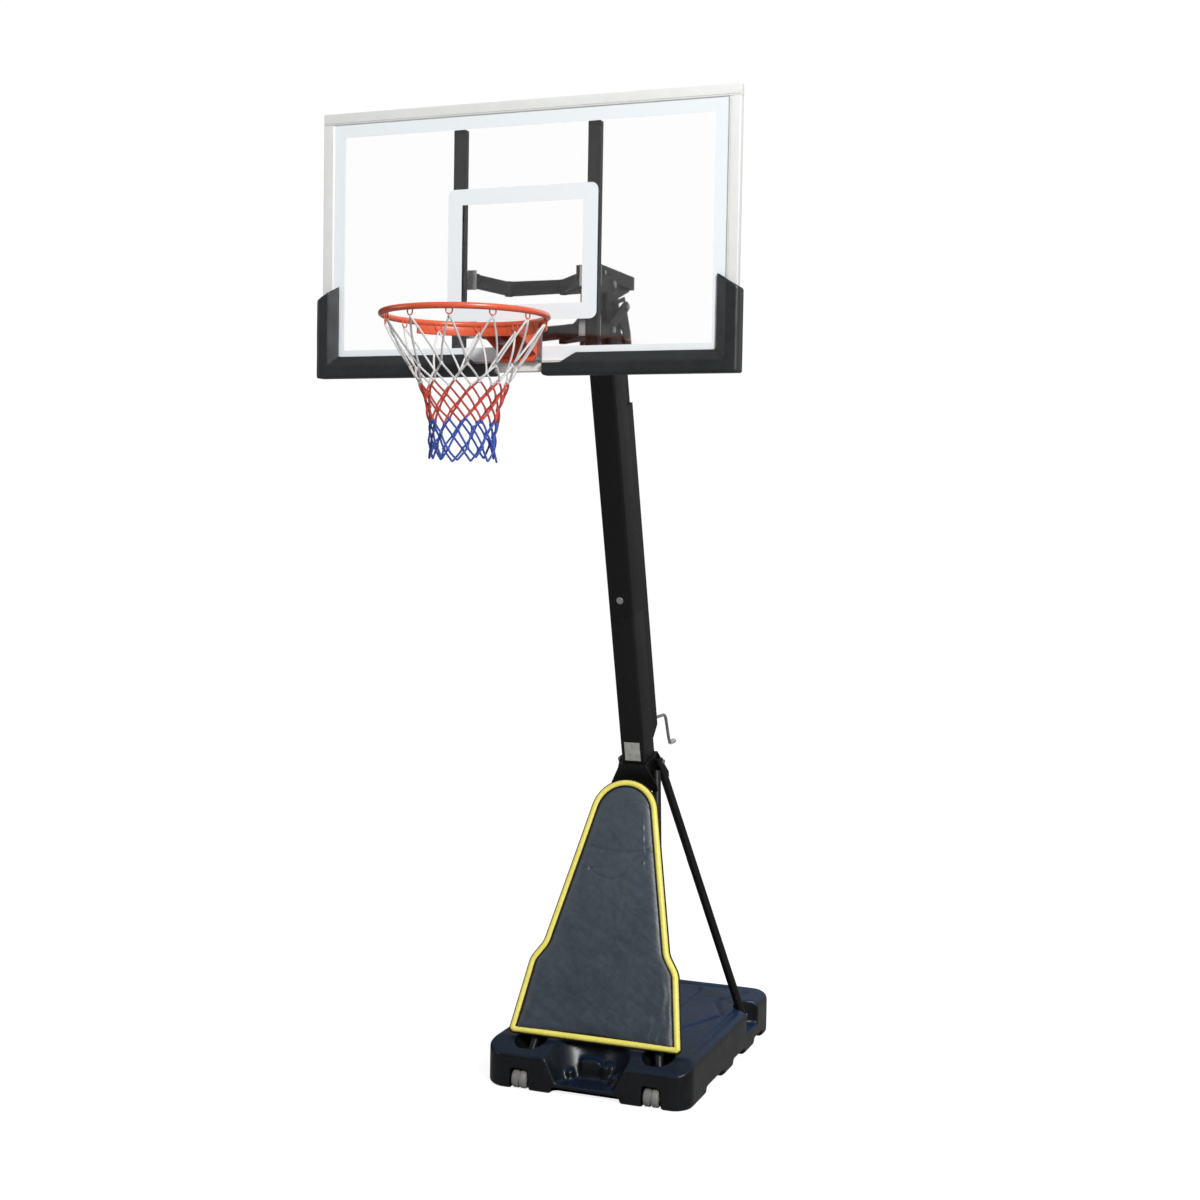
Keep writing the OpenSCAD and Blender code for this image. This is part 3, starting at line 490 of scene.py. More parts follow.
@dataclass(frozen=True)
class Finish:
    """A painted, plated or moulded surface.

    Attributes:
        name: The material's name.
        colour: Its mean colour, linear.
        spread: How far the colour wanders, as a share.
        rough: Lowest and highest roughness.
        metal: Metallic value.
        patch: Scale of the wandering, per metre.
        grain: Scale of the skin's grain, per metre.
        depth: Height of the grain in metres.
        cells: Share of rounded cells in the grain.
        coat: Weight of a clear coat.
        dust: Share of a second colour on what faces up: settled dust on most finishes, a painted sky sheen on the
            tank.
        dust_and_sheen_colour: Its colour, linear.
        dust_front: Share of it that is left at the object's front.
        shine: Level of the mirror-like part.
        sheen: Weight of a soft sheen.
    """

    name: str
    colour: Colour
    spread: float = 0.12
    rough: tuple[float, float] = (0.35, 0.5)
    metal: float = 0.0
    patch: float = 8.0
    grain: float = 700.0
    depth: float = 0.00006
    cells: float = 0.5
    coat: float = 0.0
    dust: float = 0.0
    sheen: float = 0.0
    dust_and_sheen_colour: Colour = (0.20, 0.19, 0.17)
    dust_front: float = 1.0
    shine: float = 0.5

    def vector(self, g: Graph) -> bpy.types.NodeSocket:
        """Returns the coordinates that the pattern reads."""
        return g.add("ShaderNodeTexCoord").outputs["Object"]

    def material(self) -> bpy.types.Material:
        """Builds the material, or returns it if it is already built."""
        if self.name in bpy.data.materials:
            return bpy.data.materials[self.name]
        mat = bpy.data.materials.new(self.name)
        mat.use_nodes = True
        g = Graph(mat.node_tree)
        where = self.vector(g)
        mottle = g.add("ShaderNodeGroup", node_tree=EFFECTS.tree(Effect.MOTTLE))
        g.tree.links.new(where, mottle.inputs["Vector"])
        for key, value in (("Scale", self.patch), ("Low", self.rough[0]), ("High", self.rough[1]),
                           ("Dark", rgba(self.colour, 1 - self.spread)),
                           ("Light", rgba(self.colour, 1 + self.spread))):
            mottle.inputs[key].default_value = value
        grain = g.add("ShaderNodeGroup", node_tree=EFFECTS.tree(Effect.GRAIN))
        g.tree.links.new(where, grain.inputs["Vector"])
        grain.inputs["Scale"].default_value = self.grain
        grain.inputs["Cells"].default_value = self.cells
        bump = g.add("ShaderNodeBump", {"Height": grain.outputs["Height"], "Distance": self.depth,
                                        "Strength": 1.0})
        colour = mottle.outputs["Color"]
        # Up-facing colour: settled dust on most finishes; on the tank it is a painted sky sheen, weaker at the
        # front.
        if self.dust:
            dust = g.add("ShaderNodeGroup", node_tree=EFFECTS.tree(Effect.SETTLED))
            g.tree.links.new(where, dust.inputs["Vector"])
            g.tree.links.new(colour, dust.inputs["Color"])
            dust.inputs["Amount"].default_value = self.dust
            dust.inputs["Front"].default_value = self.dust_front
            dust.inputs["Dust"].default_value = rgba(self.dust_and_sheen_colour)
            colour = dust.outputs["Color"]
        shader = g.add("ShaderNodeBsdfPrincipled", {
            "Base Color": self.tint(g, colour), "Roughness": mottle.outputs["Value"], "Metallic": self.metal,
            "Coat Weight": self.coat, "Coat Roughness": 0.15, "Sheen Weight": self.sheen,
            "Specular IOR Level": self.shine,
            "Normal": bump.outputs["Normal"]})
        self.extra(g, shader)
        out = g.add("ShaderNodeOutputMaterial")
        g.tree.links.new(shader.outputs[0], out.inputs[0])
        return mat

    def tint(self, g: Graph, colour: bpy.types.NodeSocket) -> bpy.types.NodeSocket:
        """Returns the base colour's socket; a finish with a pattern changes it."""
        return colour

    def extra(self, g: Graph, shader: bpy.types.Node) -> None:
        """Adds what only one kind of finish has; the plain one adds nothing."""


@dataclass(frozen=True)
class ClearSheet(Finish):
    """Clear plastic sheet with a faint wander in its polish."""

    def extra(self, g: Graph, shader: bpy.types.Node) -> None:
        """Lets light through the sheet."""
        shader.inputs["Transmission Weight"].default_value = 1.0
        shader.inputs["IOR"].default_value = 1.49


@dataclass(frozen=True)
class CoatedFabric(Finish):
    """Coated fabric with slanting crease streaks that are strongest low down: painted highlight and shade in the
    colour, and small bumps.
    """

    slant: float = math.radians(36)
    stretch: float = 0.13
    density: float = 34.0
    # light is the range the streaks scale the colour by: painted crease highlight and shade.
    light: tuple[float, float] = (0.78, 1.26)
    low_tone: float = 0.70

    def streaks(self, g: Graph, low: float, high: float) -> bpy.types.NodeSocket:
        """Adds the streaks: noise on coordinates turned by the slant, then drawn out along X.

        Args:
            g: The material's graph.
            low: Least value.
            high: Greatest value.

        Returns:
            The value's socket.
        """
        turned = g.add("ShaderNodeMapping", {"Vector": self.vector(g), "Rotation": (0.0, -self.slant, 0.0)})
        drawn = g.add("ShaderNodeMapping", {"Vector": turned.outputs[0], "Scale": (self.stretch, 1.0, 1.0)})
        group = g.add("ShaderNodeGroup", node_tree=EFFECTS.tree(Effect.STREAKS))
        g.tree.links.new(drawn.outputs[0], group.inputs["Vector"])
        for key, value in (("Scale", self.density), ("Low", low), ("High", high)):
            group.inputs[key].default_value = value
        return group.outputs["Value"]

    def tint(self, g: Graph, colour: bpy.types.NodeSocket) -> bpy.types.NodeSocket:
        """Paints crease highlight and shade along the streaks, less so towards the top, and darkens the foot."""
        height = g.add("ShaderNodeSeparateXYZ", {0: self.vector(g)})
        amount = g.add("ShaderNodeMapRange", {"Value": height.outputs["Z"], "From Min": 0.35,
                                              "From Max": 0.95, "To Min": 1.0, "To Max": 0.45})
        mix = g.add("ShaderNodeMix", {"Factor": amount.outputs[0], 6: colour,
                                      7: self.streaks(g, *self.light)},
                    data_type="RGBA", blend_type="MULTIPLY")
        tone = g.add("ShaderNodeMapRange", {"Value": height.outputs["Z"], "From Min": 0.20, "From Max": 0.80,
                                            "To Min": self.low_tone, "To Max": 1.0})
        foot = g.add("ShaderNodeMix", {"Factor": 1.0, 6: mix.outputs[2], 7: tone.outputs[0]},
                     data_type="RGBA", blend_type="MULTIPLY")
        return foot.outputs[2]

    def extra(self, g: Graph, shader: bpy.types.Node) -> None:
        """Raises the streaks a little on top of the grain."""
        below = shader.inputs["Normal"].links[0].from_socket
        bump = g.add("ShaderNodeBump", {"Height": self.streaks(g, 0.0, 1.0), "Distance": 0.0010,
                                        "Strength": 0.8, "Normal": below})
        g.tree.links.new(bump.outputs["Normal"], shader.inputs["Normal"])


@dataclass(frozen=True)
class Cord(Finish):
    """Braided cord, whose strands follow the piece's own map."""

    around: float = 3.0
    along: float = 140.0

    def _braid(self, g: Graph) -> bpy.types.Node:
        """Adds the braid group on the piece's map."""
        braid = g.add("ShaderNodeGroup", node_tree=EFFECTS.tree(Effect.BRAID))
        g.tree.links.new(g.add("ShaderNodeUVMap", uv_map="UVMap").outputs[0], braid.inputs["Vector"])
        braid.inputs["Around"].default_value = self.around
        braid.inputs["Along"].default_value = self.along
        return braid

    def tint(self, g: Graph, colour: bpy.types.NodeSocket) -> bpy.types.NodeSocket:
        """Darkens the grooves between the strands: painted shade."""
        braid = self._braid(g)
        mix = g.add("ShaderNodeMix", {"Factor": 1.0, 6: colour, 7: braid.outputs["Shade"]},
                    data_type="RGBA", blend_type="MULTIPLY")
        return mix.outputs[2]

    def extra(self, g: Graph, shader: bpy.types.Node) -> None:
        """Raises the strands."""
        braid = self._braid(g)
        bump = g.add("ShaderNodeBump", {"Height": braid.outputs["Height"], "Distance": 0.0006,
                                        "Strength": 1.0})
        g.tree.links.new(bump.outputs["Normal"], shader.inputs["Normal"])


BLACK_COAT = Finish("black_powder_coat", (0.0045, 0.0045, 0.0050), 0.20, (0.36, 0.48), 0.0, 7.0, 900.0,
                    0.00010, 0.25, dust=0.015, shine=0.26)
ZINC = Finish("zinc_plate", (0.42, 0.43, 0.44), 0.16, (0.24, 0.40), 0.9, 30.0, 500.0, 0.00003, 0.2)
SPRING_WIRE = Finish("spring_wire", (0.50, 0.50, 0.50), 0.08, (0.2, 0.3), 0.95, 40.0, 900.0, 0.00002, 0.1)
BRONZE = Finish("machined_bronze", (0.55, 0.36, 0.16), 0.10, (0.25, 0.4), 0.95, 30.0, 600.0, 0.00003, 0.1)
# The navy on the tank's up-facing surfaces, weaker towards the front, is a painted sky sheen over its near-black
# colour.
TANK_SKIN = Finish("blow_moulded_tank", (0.0055, 0.0062, 0.0075), 0.30, (0.26, 0.40), 0.0, 5.0, 260.0,
                   0.00016, 0.7, dust=1.0, dust_and_sheen_colour=(0.0045, 0.024, 0.068), dust_front=0.34,
                   shine=0.27)
WHEEL_SKIN = Finish("grey_wheel", (0.19, 0.187, 0.178), 0.18, (0.45, 0.6), 0.0, 18.0, 500.0, 0.0001, 0.5,
                    dust=0.1)
CAP_SKIN = Finish("cap_moulding", (0.012, 0.012, 0.014), 0.15, (0.35, 0.5), 0.0, 20.0, 500.0, 0.0001, 0.5,
                  dust=0.1)
GRIP_SKIN = Finish("grip_moulding", (0.42, 0.42, 0.42), 0.1, (0.4, 0.5), 0.0, 25.0, 700.0, 0.0001, 0.6)
SAND = Finish("ballast_sand", (0.50, 0.38, 0.24), 0.3, (0.85, 0.95), 0.0, 60.0, 900.0, 0.0006, 0.9)
FOIL = Finish("blank_foil", (0.36, 0.365, 0.33), 0.26, (0.4, 0.55), 0.1, 60.0, 300.0, 0.00004, 0.1)
WHITE_RAIL = Finish("warm_white_rail", (0.77, 0.775, 0.755), 0.03, (0.30, 0.40), 0.0, 3.0, 1100.0, 0.00004,
                    0.2, coat=0.15)
WHITE_PRINT = Finish("white_print", (0.42, 0.46, 0.47), 0.02, (0.30, 0.4), 0.0, 4.0, 900.0, 0.00002, 0.1)
CLEAR = ClearSheet("clear_sheet", (0.997, 1.0, 1.0), 0.003, (0.02, 0.05), 0.0, 3.0, 40.0, 0.000002, 0.0,
                   shine=0.25)
FOAM_SKIN = Finish("moulded_foam_skin", (0.017, 0.020, 0.022), 0.12, (0.34, 0.46), 0.0, 9.0, 420.0,
                   0.00010, 0.6)
ORANGE = Finish("orange_enamel", (0.66, 0.095, 0.035), 0.10, (0.25, 0.38), 0.0, 12.0, 800.0, 0.00006, 0.3,
                coat=0.3)
VINYL = CoatedFabric("coated_fabric", (0.044, 0.059, 0.077), 0.14, (0.36, 0.50), 0.0, 6.0, 520.0, 0.00012,
                     0.75)
YELLOW = Finish("yellow_piping", (0.84, 0.74, 0.15), 0.10, (0.35, 0.45), 0.0, 16.0, 700.0, 0.00012, 0.6)
# Used for the pad's outer trim and for the painted shadow line just inside its piping.
BLACK_TRIM_AND_SHADE_LINE = Finish("black_trim_and_shade_line", (0.012, 0.011, 0.006), 0.12, (0.5, 0.62), 0.0, 16.0, 700.0, 0.00012, 0.6,
                    shine=0.2)
STRAP = Finish("woven_strap", (0.012, 0.012, 0.013), 0.15, (0.6, 0.75), 0.0, 30.0, 900.0, 0.0003, 0.2,
               sheen=0.1)
CORD_WHITE = Cord("net_cord_white", (0.84, 0.83, 0.82), 0.04, (0.6, 0.75), sheen=0.2)
CORD_RED = Cord("net_cord_red", (0.66, 0.055, 0.03), 0.10, (0.6, 0.75), sheen=0.2)
CORD_BLUE = Cord("net_cord_blue", (0.025, 0.085, 0.50), 0.12, (0.6, 0.75), sheen=0.2)
WEB_SHELL = Finish("net_shell", (0.80, 0.80, 0.79), 0.05, (0.6, 0.75), 0.0, 20.0, 600.0, 0.0004, 0.4)


# ------------------------------------------------------------------ shapes

@dataclass(frozen=True)
class Span:
    """The box of a frame node, in metres."""

    low: Array
    high: Array

    @staticmethod
    def of(node: str) -> "Span":
        """Reads a node's box."""
        low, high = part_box(node)
        return Span(np.array(low, float), np.array(high, float))

    @property
    def size(self) -> Array:
        """The box's sides."""
        return self.high - self.low

    @property
    def centre(self) -> Array:
        """The box's middle."""
        return (self.high + self.low) / 2


def joint(name: str) -> dict:
    """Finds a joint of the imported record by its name."""
    return next(j for j in frame["joints"] if j["name"] == name)


def rounded_outline(width: float, height: float, radius: float, steps: int = 5) -> Array:
    """Outline of a rectangle with round corners, counter-clockwise about the origin.

    Corner k is c_k + radius (cos a, sin a) for a from 90 k to 90 (k + 1) degrees.

    Args:
        width: Size along the first axis.
        height: Size along the second axis.
        radius: Radius of the corners.
        steps: Points on a corner.

    Returns:
        An (n, 2) array.
    """
    a = np.linspace(0, math.pi / 2, steps)
    turns = np.arange(4)[:, None] * math.pi / 2 + a
    sx, sy = np.array([1, -1, -1, 1]), np.array([1, 1, -1, -1])
    cx, cy = sx * (width / 2 - radius), sy * (height / 2 - radius)
    x = cx[:, None] + radius * np.cos(turns)
    y = cy[:, None] + radius * np.sin(turns)
    return np.stack([x.ravel(), y.ravel()], 1)


def circle_outline(radius: float, steps: int = 32) -> Array:
    """Outline of a circle, counter-clockwise about the origin."""
    a = np.arange(steps) * TURN / steps
    return radius * np.stack([np.cos(a), np.sin(a)], 1)


def inset(outline: Array, distance: float) -> Array:
    """Moves a counter-clockwise outline inwards.

    Each point moves along the sum m of its two edges' inward normals, by distance m / (m . n).

    Args:
        outline: An (n, 2) array.
        distance: How far the edges move in.

    Returns:
        The new outline.
    """
    before = unit(outline - np.roll(outline, 1, axis=0))
    after = unit(np.roll(outline, -1, axis=0) - outline)
    n = np.stack([-before[:, 1], before[:, 0]], 1)
    m = n + np.stack([-after[:, 1], after[:, 0]], 1)
    return outline + distance * m / np.maximum((m * n).sum(1, keepdims=True), 0.3)


@dataclass(frozen=True)
class Place:
    """Axes that carry local u, v and w to the frame."""

    origin: Array
    u: Array
    v: Array
    w: Array

    @staticmethod
    def along(start: Array, end: Array, across: Array) -> "Place":
        """Puts w along start to end and u as near to across as it can be."""
        w = unit(np.asarray(end, float) - start)
        u = unit(np.asarray(across, float) - (np.asarray(across, float) @ w) * w)
        return Place(np.asarray(start, float), u, np.cross(w, u), w)

    def carry(self, local: Array) -> Array:
        """Returns origin + x u + y v + z w for rows (x, y, z)."""
        return self.origin + local @ np.stack([self.u, self.v, self.w])


def stack(name: str, rings: Sequence[Array], place: Place, smooth: bool = True) -> bpy.types.Object:
    """Joins closed rings of points into one capped solid.

    Args:
        name: The piece's name.
        rings: Arrays of local (x, y, z), all with the same number of points, from w low to w high.
        place: Axes that carry them to the frame.
        smooth: Whether the faces are shaded smooth.

    Returns:
        The solid.
    """
    count = len(rings[0])
    faces = grid_quads(len(rings), count, False, True).tolist()
    faces.append(list(range(count))[::-1])
    faces.append((np.arange(count) + (len(rings) - 1) * count).tolist())
    obj = mesh_object(name, place.carry(np.vstack(rings)), faces, smooth)
    obj.data.set_sharp_from_angle(angle=math.radians(35))
    return obj


def slab(name: str, outline: Array, low: float, high: float, edge: float, place: Place,
         steps: int = 4) -> bpy.types.Object:
    """Solid of a flat outline whose two rims are rounded.

    At angle a the lower rim is the outline inset by edge (1 - sin a) at height low + edge (1 - cos a);
    the upper rim is its mirror image.

    Args:
        name: The piece's name.
        outline: A counter-clockwise (n, 2) array.
        low: Where it starts along w.
        high: Where it ends along w.
        edge: Radius of the rims.
        place: Axes that carry it to the frame.
        steps: Rings on a rim.

    Returns:
        The solid.
    """
    a = np.linspace(0, math.pi / 2, steps)
    rim = [(edge * (1 - math.sin(t)), low + edge * (1 - math.cos(t))) for t in a]
    rim += [(edge * (1 - math.cos(t)), high - edge * (1 - math.sin(t))) for t in a]
    rings = [np.column_stack([inset(outline, d), np.full(len(outline), z)]) for d, z in rim]
    return stack(name, rings, place)


def bar(name: str, outline: Array, start: Array, end: Array, across: Array,
        edge: float = 0.0015) -> bpy.types.Object:
    """Carries an outline along a straight line and rounds its two ends.

    Args:
        name: The piece's name.
        outline: The section, counter-clockwise, seen against the line's direction.
        start: First point of the line.
        end: Last point of the line.
        across: Direction of the section's first axis.
        edge: Radius of the rims.

    Returns:
        The solid.
    """
    length = float(np.linalg.norm(np.asarray(end, float) - start))
    return slab(name, outline, 0.0, length, edge, Place.along(start, end, across))


def helix(name: str, start: Array, axis: Array, length: float, radius: float, wire: float,
          turns: float) -> bpy.types.Object:
    """Winds a coil spring whose end turns lie flat.

    The wire's middle is start + z(t) axis + radius (cos 2 pi t, sin 2 pi t), where z rises as a
    smooth step of t between the two end turns.

    Args:
        name: The piece's name.
        start: First point on the coil's axis.
        axis: Direction of the axis.
        length: Length between the outer faces of the end turns.
        radius: Radius of the wire's middle line.
        wire: Radius of the wire.
        turns: Number of turns.

    Returns:
        The coil.
    """
    place = Place.along(start, np.asarray(start) + axis, np.array([1.0, 0.0, 0.0]))
    t = np.linspace(0, turns, int(turns * 24))
    s = np.clip((t - 0.9) / (turns - 1.8), 0, 1)
    z = wire + (length - 2 * wire) * s
    path = place.carry(np.column_stack([radius * np.cos(TURN * t), radius * np.sin(TURN * t), z]))
    return tubes(name, path[None], wire, 8, place.w)


def leaning(node: str, lean: float) -> tuple[Array, float, float, float]:
    """Reads a frame box that leans about X by solving its own sizes from its span.

    A solid of depth d and length l that leans by a spans d cos a + l sin a along Y and
    d sin a + l cos a along Z.

    Args:
        node: The node's name.
        lean: The lean in radians.

    Returns:
        Its middle, width, depth and length.
    """
    span = Span.of(node)
    c, s = math.cos(lean), math.sin(lean)
    depth, length = np.linalg.solve([[c, s], [s, c]], span.size[1:])
    return span.centre, float(span.size[0]), float(depth), float(length)


def baked(obj: bpy.types.Object) -> bpy.types.Object:
    """Applies a piece's modifiers to its mesh."""
    bpy.context.view_layer.update()
    graph = bpy.context.evaluated_depsgraph_get()
    mesh = bpy.data.meshes.new_from_object(obj.evaluated_get(graph))
    old = obj.data
    obj.modifiers.clear()
    obj.data = mesh
    bpy.data.meshes.remove(old)
    return obj


def carved(obj: bpy.types.Object, cutters: Sequence[bpy.types.Object]) -> bpy.types.Object:
    """Cuts each of several solids out of a piece and removes them."""
    for cutter in cutters:
        cut = obj.modifiers.new("cut", "BOOLEAN")
        cut.operation = "DIFFERENCE"
        cut.solver = "EXACT"
        cut.object = cutter
    baked(obj)
    for cutter in cutters:
        bpy.data.meshes.remove(cutter.data)
    return obj


def moulded(obj: bpy.types.Object, voxel: float, rounds: int) -> bpy.types.Object:
    """Remeshes a sharp solid evenly and relaxes it, which gives every edge a moulded radius."""
    remesh = obj.modifiers.new("even", "REMESH")
    remesh.mode = "VOXEL"
    remesh.voxel_size = voxel
    remesh.use_smooth_shade = True
    relax = obj.modifiers.new("relax", "SMOOTH")
    relax.factor = 0.5
    relax.iterations = rounds
    return baked(obj)


def points_of(obj: bpy.types.Object) -> Array:
    """Reads a mesh's points as an (n, 3) array."""
    flat = np.empty(len(obj.data.vertices) * 3)
    obj.data.vertices.foreach_get("co", flat)
    return flat.reshape(-1, 3)


def set_points(obj: bpy.types.Object, points: Array) -> None:
    """Writes a mesh's points."""
    obj.data.vertices.foreach_set("co", points.ravel())
    obj.data.update()


def segment_distance(p: Array, a: Sequence[float], b: Sequence[float]) -> Array:
    """Distance of 2-D points from the segment a to b: |p - a - clip(t) (b - a)|."""
    a, b = np.asarray(a, float), np.asarray(b, float)
    t = np.clip(((p - a) @ (b - a)) / ((b - a) @ (b - a)), 0, 1)
    return np.linalg.norm(p - a - t[:, None] * (b - a), axis=1)


def curve_distance(p: Array, curve: Array) -> Array:
    """Distance of 2-D points from a polyline: the least of its segments' distances."""
    return np.min([segment_distance(p, a, b) for a, b in zip(curve[:-1], curve[1:])], axis=0)


def bezier(corners: Sequence[Sequence[float]], steps: int = 12) -> Array:
    """Quadratic curve (1-s)^2 a + 2 s (1-s) c + s^2 b through three given points a, c, b."""
    a, c, b = (np.asarray(p, float) for p in corners)
    s = np.linspace(0, 1, steps)[:, None]
    return (1 - s) ** 2 * a + 2 * s * (1 - s) * c + s ** 2 * b


# ------------------------------------------------------------------ base

@dataclass
class BaseTank:
    """The blow-moulded ballast tank with its cap, sand and transport wheels."""

    voxel: float = 0.006
    relax_rounds: int = 7
    shoulder: float = 0.024
    leg_pocket_r: float = 0.058
    strut_pocket_r: float = 0.074
    recess_r: tuple[float, float] = (0.105, 0.168)
    recess_floor: float = 0.038
    boss_reach: float = 0.128
    front_drop: float = 0.042
    front_run: float = 0.095
    arch_h: float = 0.026
    arch_in: float = 0.050
    groove_w: float = 0.009
    groove_d: float = 0.007
    leg_x: float = 0.240
    leg_back: float = 0.097
    leg_pocket_floor: float = 0.095
    strut_y: float = 0.262
    strut_pocket_floor: float = 0.075

    def __post_init__(self) -> None:
        """Reads the places that the frame gives."""
        self.tank = Span.of("base_tank")
        self.wheels = {side: Span.of("wheel_" + side) for side in ("left", "right")}
        self.leg_at = np.array([self.leg_x, self.tank.low[1] + self.leg_back])
        self.strut_at = np.array([self.tank.high[0], self.strut_y])

    def upright(self, x: float, y: float) -> Place:
        """Axes whose w is up, at (x, y) on the ground."""
        return Place(np.array([x, y, 0.0]), *np.eye(3))

    def cutters(self) -> list[bpy.types.Object]:
        """Makes the solids that the tank's pockets, slots and arches leave."""
        top = self.tank.high[2] + 0.05
        front = self.tank.low[1]
        low_r, high_r = self.recess_r
        rise = (high_r - low_r) / (self.tank.high[2] - self.recess_floor)
        levels = ((low_r, self.recess_floor), (low_r + rise * (top - self.recess_floor), top))
        rings = [np.column_stack([circle_outline(r, 56), np.full(56, z)]) for r, z in levels]
        slope = np.array([0.0, self.front_run, self.front_drop])
        edge = np.array([0.0, front, self.tank.high[2] - self.front_drop])
        tilt = Place.along(edge, edge + np.cross([1.0, 0.0, 0.0], slope), np.array([1.0, 0.0, 0.0]))
        found = [stack("cut_recess", rings, self.upright(0.0, front)),
                 slab("cut_slope", rounded_outline(2.0, 0.6, 0.01), 0.0, 0.2, 0.001, tilt)]
        for s in (-1.0, 1.0):
            x, y = s * self.leg_at[0], self.leg_at[1]
            found.append(slab("cut_leg", circle_outline(self.leg_pocket_r, 40), self.leg_pocket_floor, top,
                              0.001, self.upright(x, y)))
            found.append(slab("cut_strut", circle_outline(self.strut_pocket_r, 48), self.strut_pocket_floor,
                              top, 0.001, self.upright(s * self.strut_at[0], self.strut_at[1])))
            wheel = self.wheels["right" if s > 0 else "left"]
            deep = wheel.high[1] + 0.014 - (front - 0.02)
            found.append(slab("cut_wheel", rounded_outline(wheel.size[0] + 0.014, deep, 0.01), -0.02,
                              wheel.high[2] + 0.008, 0.006,
                              self.upright(wheel.centre[0], front - 0.02 + deep / 2)))
            for low, high in ((-0.31, -0.10), (0.02, 0.17), (0.30, 0.42)):
                found.append(slab("cut_arch", rounded_outline(2 * self.arch_in, high - low, 0.02), -0.02,
                                  self.arch_h, 0.012, self.upright(s * self.tank.high[0], (low + high) / 2)))
        for y in (self.tank.low[1], self.tank.high[1]):
            found.append(slab("cut_arch", rounded_outline(0.26, 2 * self.arch_in, 0.02), -0.02, self.arch_h,
                              0.012, self.upright(0.0, y)))
        return found

    def bosses(self) -> list[bpy.types.Object]:
        """Makes the ribs that stand in the front recess, reaching back into its wall."""
        found = []
        for turn, width, height in ((-52.0, 0.028, 0.078), (-24.0, 0.034, 0.098), (8.0, 0.074, 0.106),
                                    (46.0, 0.028, 0.074)):
            a = math.radians(90.0 + turn)
            at = np.array([self.boss_reach * math.cos(a), self.tank.low[1] + self.boss_reach * math.sin(a)])
            across = np.array([-math.sin(a), math.cos(a), 0.0])
            out = np.array([math.cos(a), math.sin(a), 0.0])
            found.append(slab("boss", rounded_outline(width, 0.060, 0.008), self.recess_floor - 0.01,
                              height, 0.008, Place(np.array([*at, 0.0]), across, -out,
                                                   np.array([0.0, 0.0, 1.0]))))
        return found

    def grooves(self) -> list[tuple[tuple[float, float], tuple[float, float]]]:
        """Lists the lines of the channels pressed into the tank's top."""
        right = [((0.130, -0.330), (0.305, 0.100)), ((0.305, 0.100), (0.230, 0.262)),
                 ((0.230, 0.262), (0.305, 0.430)), ((0.345, -0.330), (0.345, 0.130)),
                 ((0.120, -0.250), (0.120, 0.420))]
        return right + [((-a[0], a[1]), (-b[0], b[1])) for a, b in right] + [((-0.25, 0.465), (0.25, 0.465))]

    def shell(self) -> bpy.types.Object:
        """Builds the tank: a rounded block, carved, moulded, and pressed along its grooves.

        Every top point sinks by groove_d exp(-(d / groove_w)^2), where d is its distance from the
        nearest groove, and the flat between the grooves swells by a slow product of cosines.
        """
        size = self.tank.size
        outline = rounded_outline(size[0], size[1], 0.07, 12)
        levels = ((0.012, 0.0), (0.0, 0.010), (0.0, size[2] - self.shoulder),
                  (self.shoulder * 0.35, size[2] - self.shoulder * 0.35), (self.shoulder, size[2]))
        rings = [np.column_stack([inset(outline, d), np.full(len(outline), z)]) for d, z in levels]
        shell = carved(stack("base_tank_shell", rings, self.upright(0.0, 0.0)), self.cutters())
        joined([shell, *self.bosses()])
        moulded(shell, self.voxel, self.relax_rounds)
        p = points_of(shell)
        top = np.clip((p[:, 2] - size[2] + 0.02) / 0.012, 0, 1)
        near = np.min([segment_distance(p[:, :2], a, b) for a, b in self.grooves()], axis=0)
        p[:, 2] -= self.groove_d * top * np.exp(-(near / self.groove_w) ** 2)
        p[:, 2] += 0.0012 * top * np.cos(p[:, 0] * 13.0) * np.cos(p[:, 1] * 9.0) - 0.0012 * top
        set_points(shell, p)
        return shell

    def wheel(self, side: str) -> bpy.types.Object:
        """Turns a wheel with a grooved tread, rounded shoulders and dished faces."""
        span = self.wheels[side]
        r, half = span.size[2] / 2, span.size[0] / 2
        bore, dish = 0.0062, 0.003
        tread = [(r - 0.010, -half), (r - 0.003, -half + 0.002), (r, -half + 0.007), (r, -0.006),
                 (r - 0.005, -0.004), (r - 0.005, 0.004), (r, 0.006), (r, half - 0.007),
                 (r - 0.003, half - 0.002), (r - 0.010, half), (r - 0.012, half - dish),
                 (0.016, half - dish), (0.014, half), (bore, half), (bore, -half), (0.014, -half),
                 (0.016, -half + dish), (r - 0.012, -half + dish)]
        wheel = lathe("wheel_" + side + "_turned", np.array(tread), span.centre, np.array([1.0, 0, 0]), 56)
        wheel.data.set_sharp_from_angle(angle=math.radians(50))
        return wheel

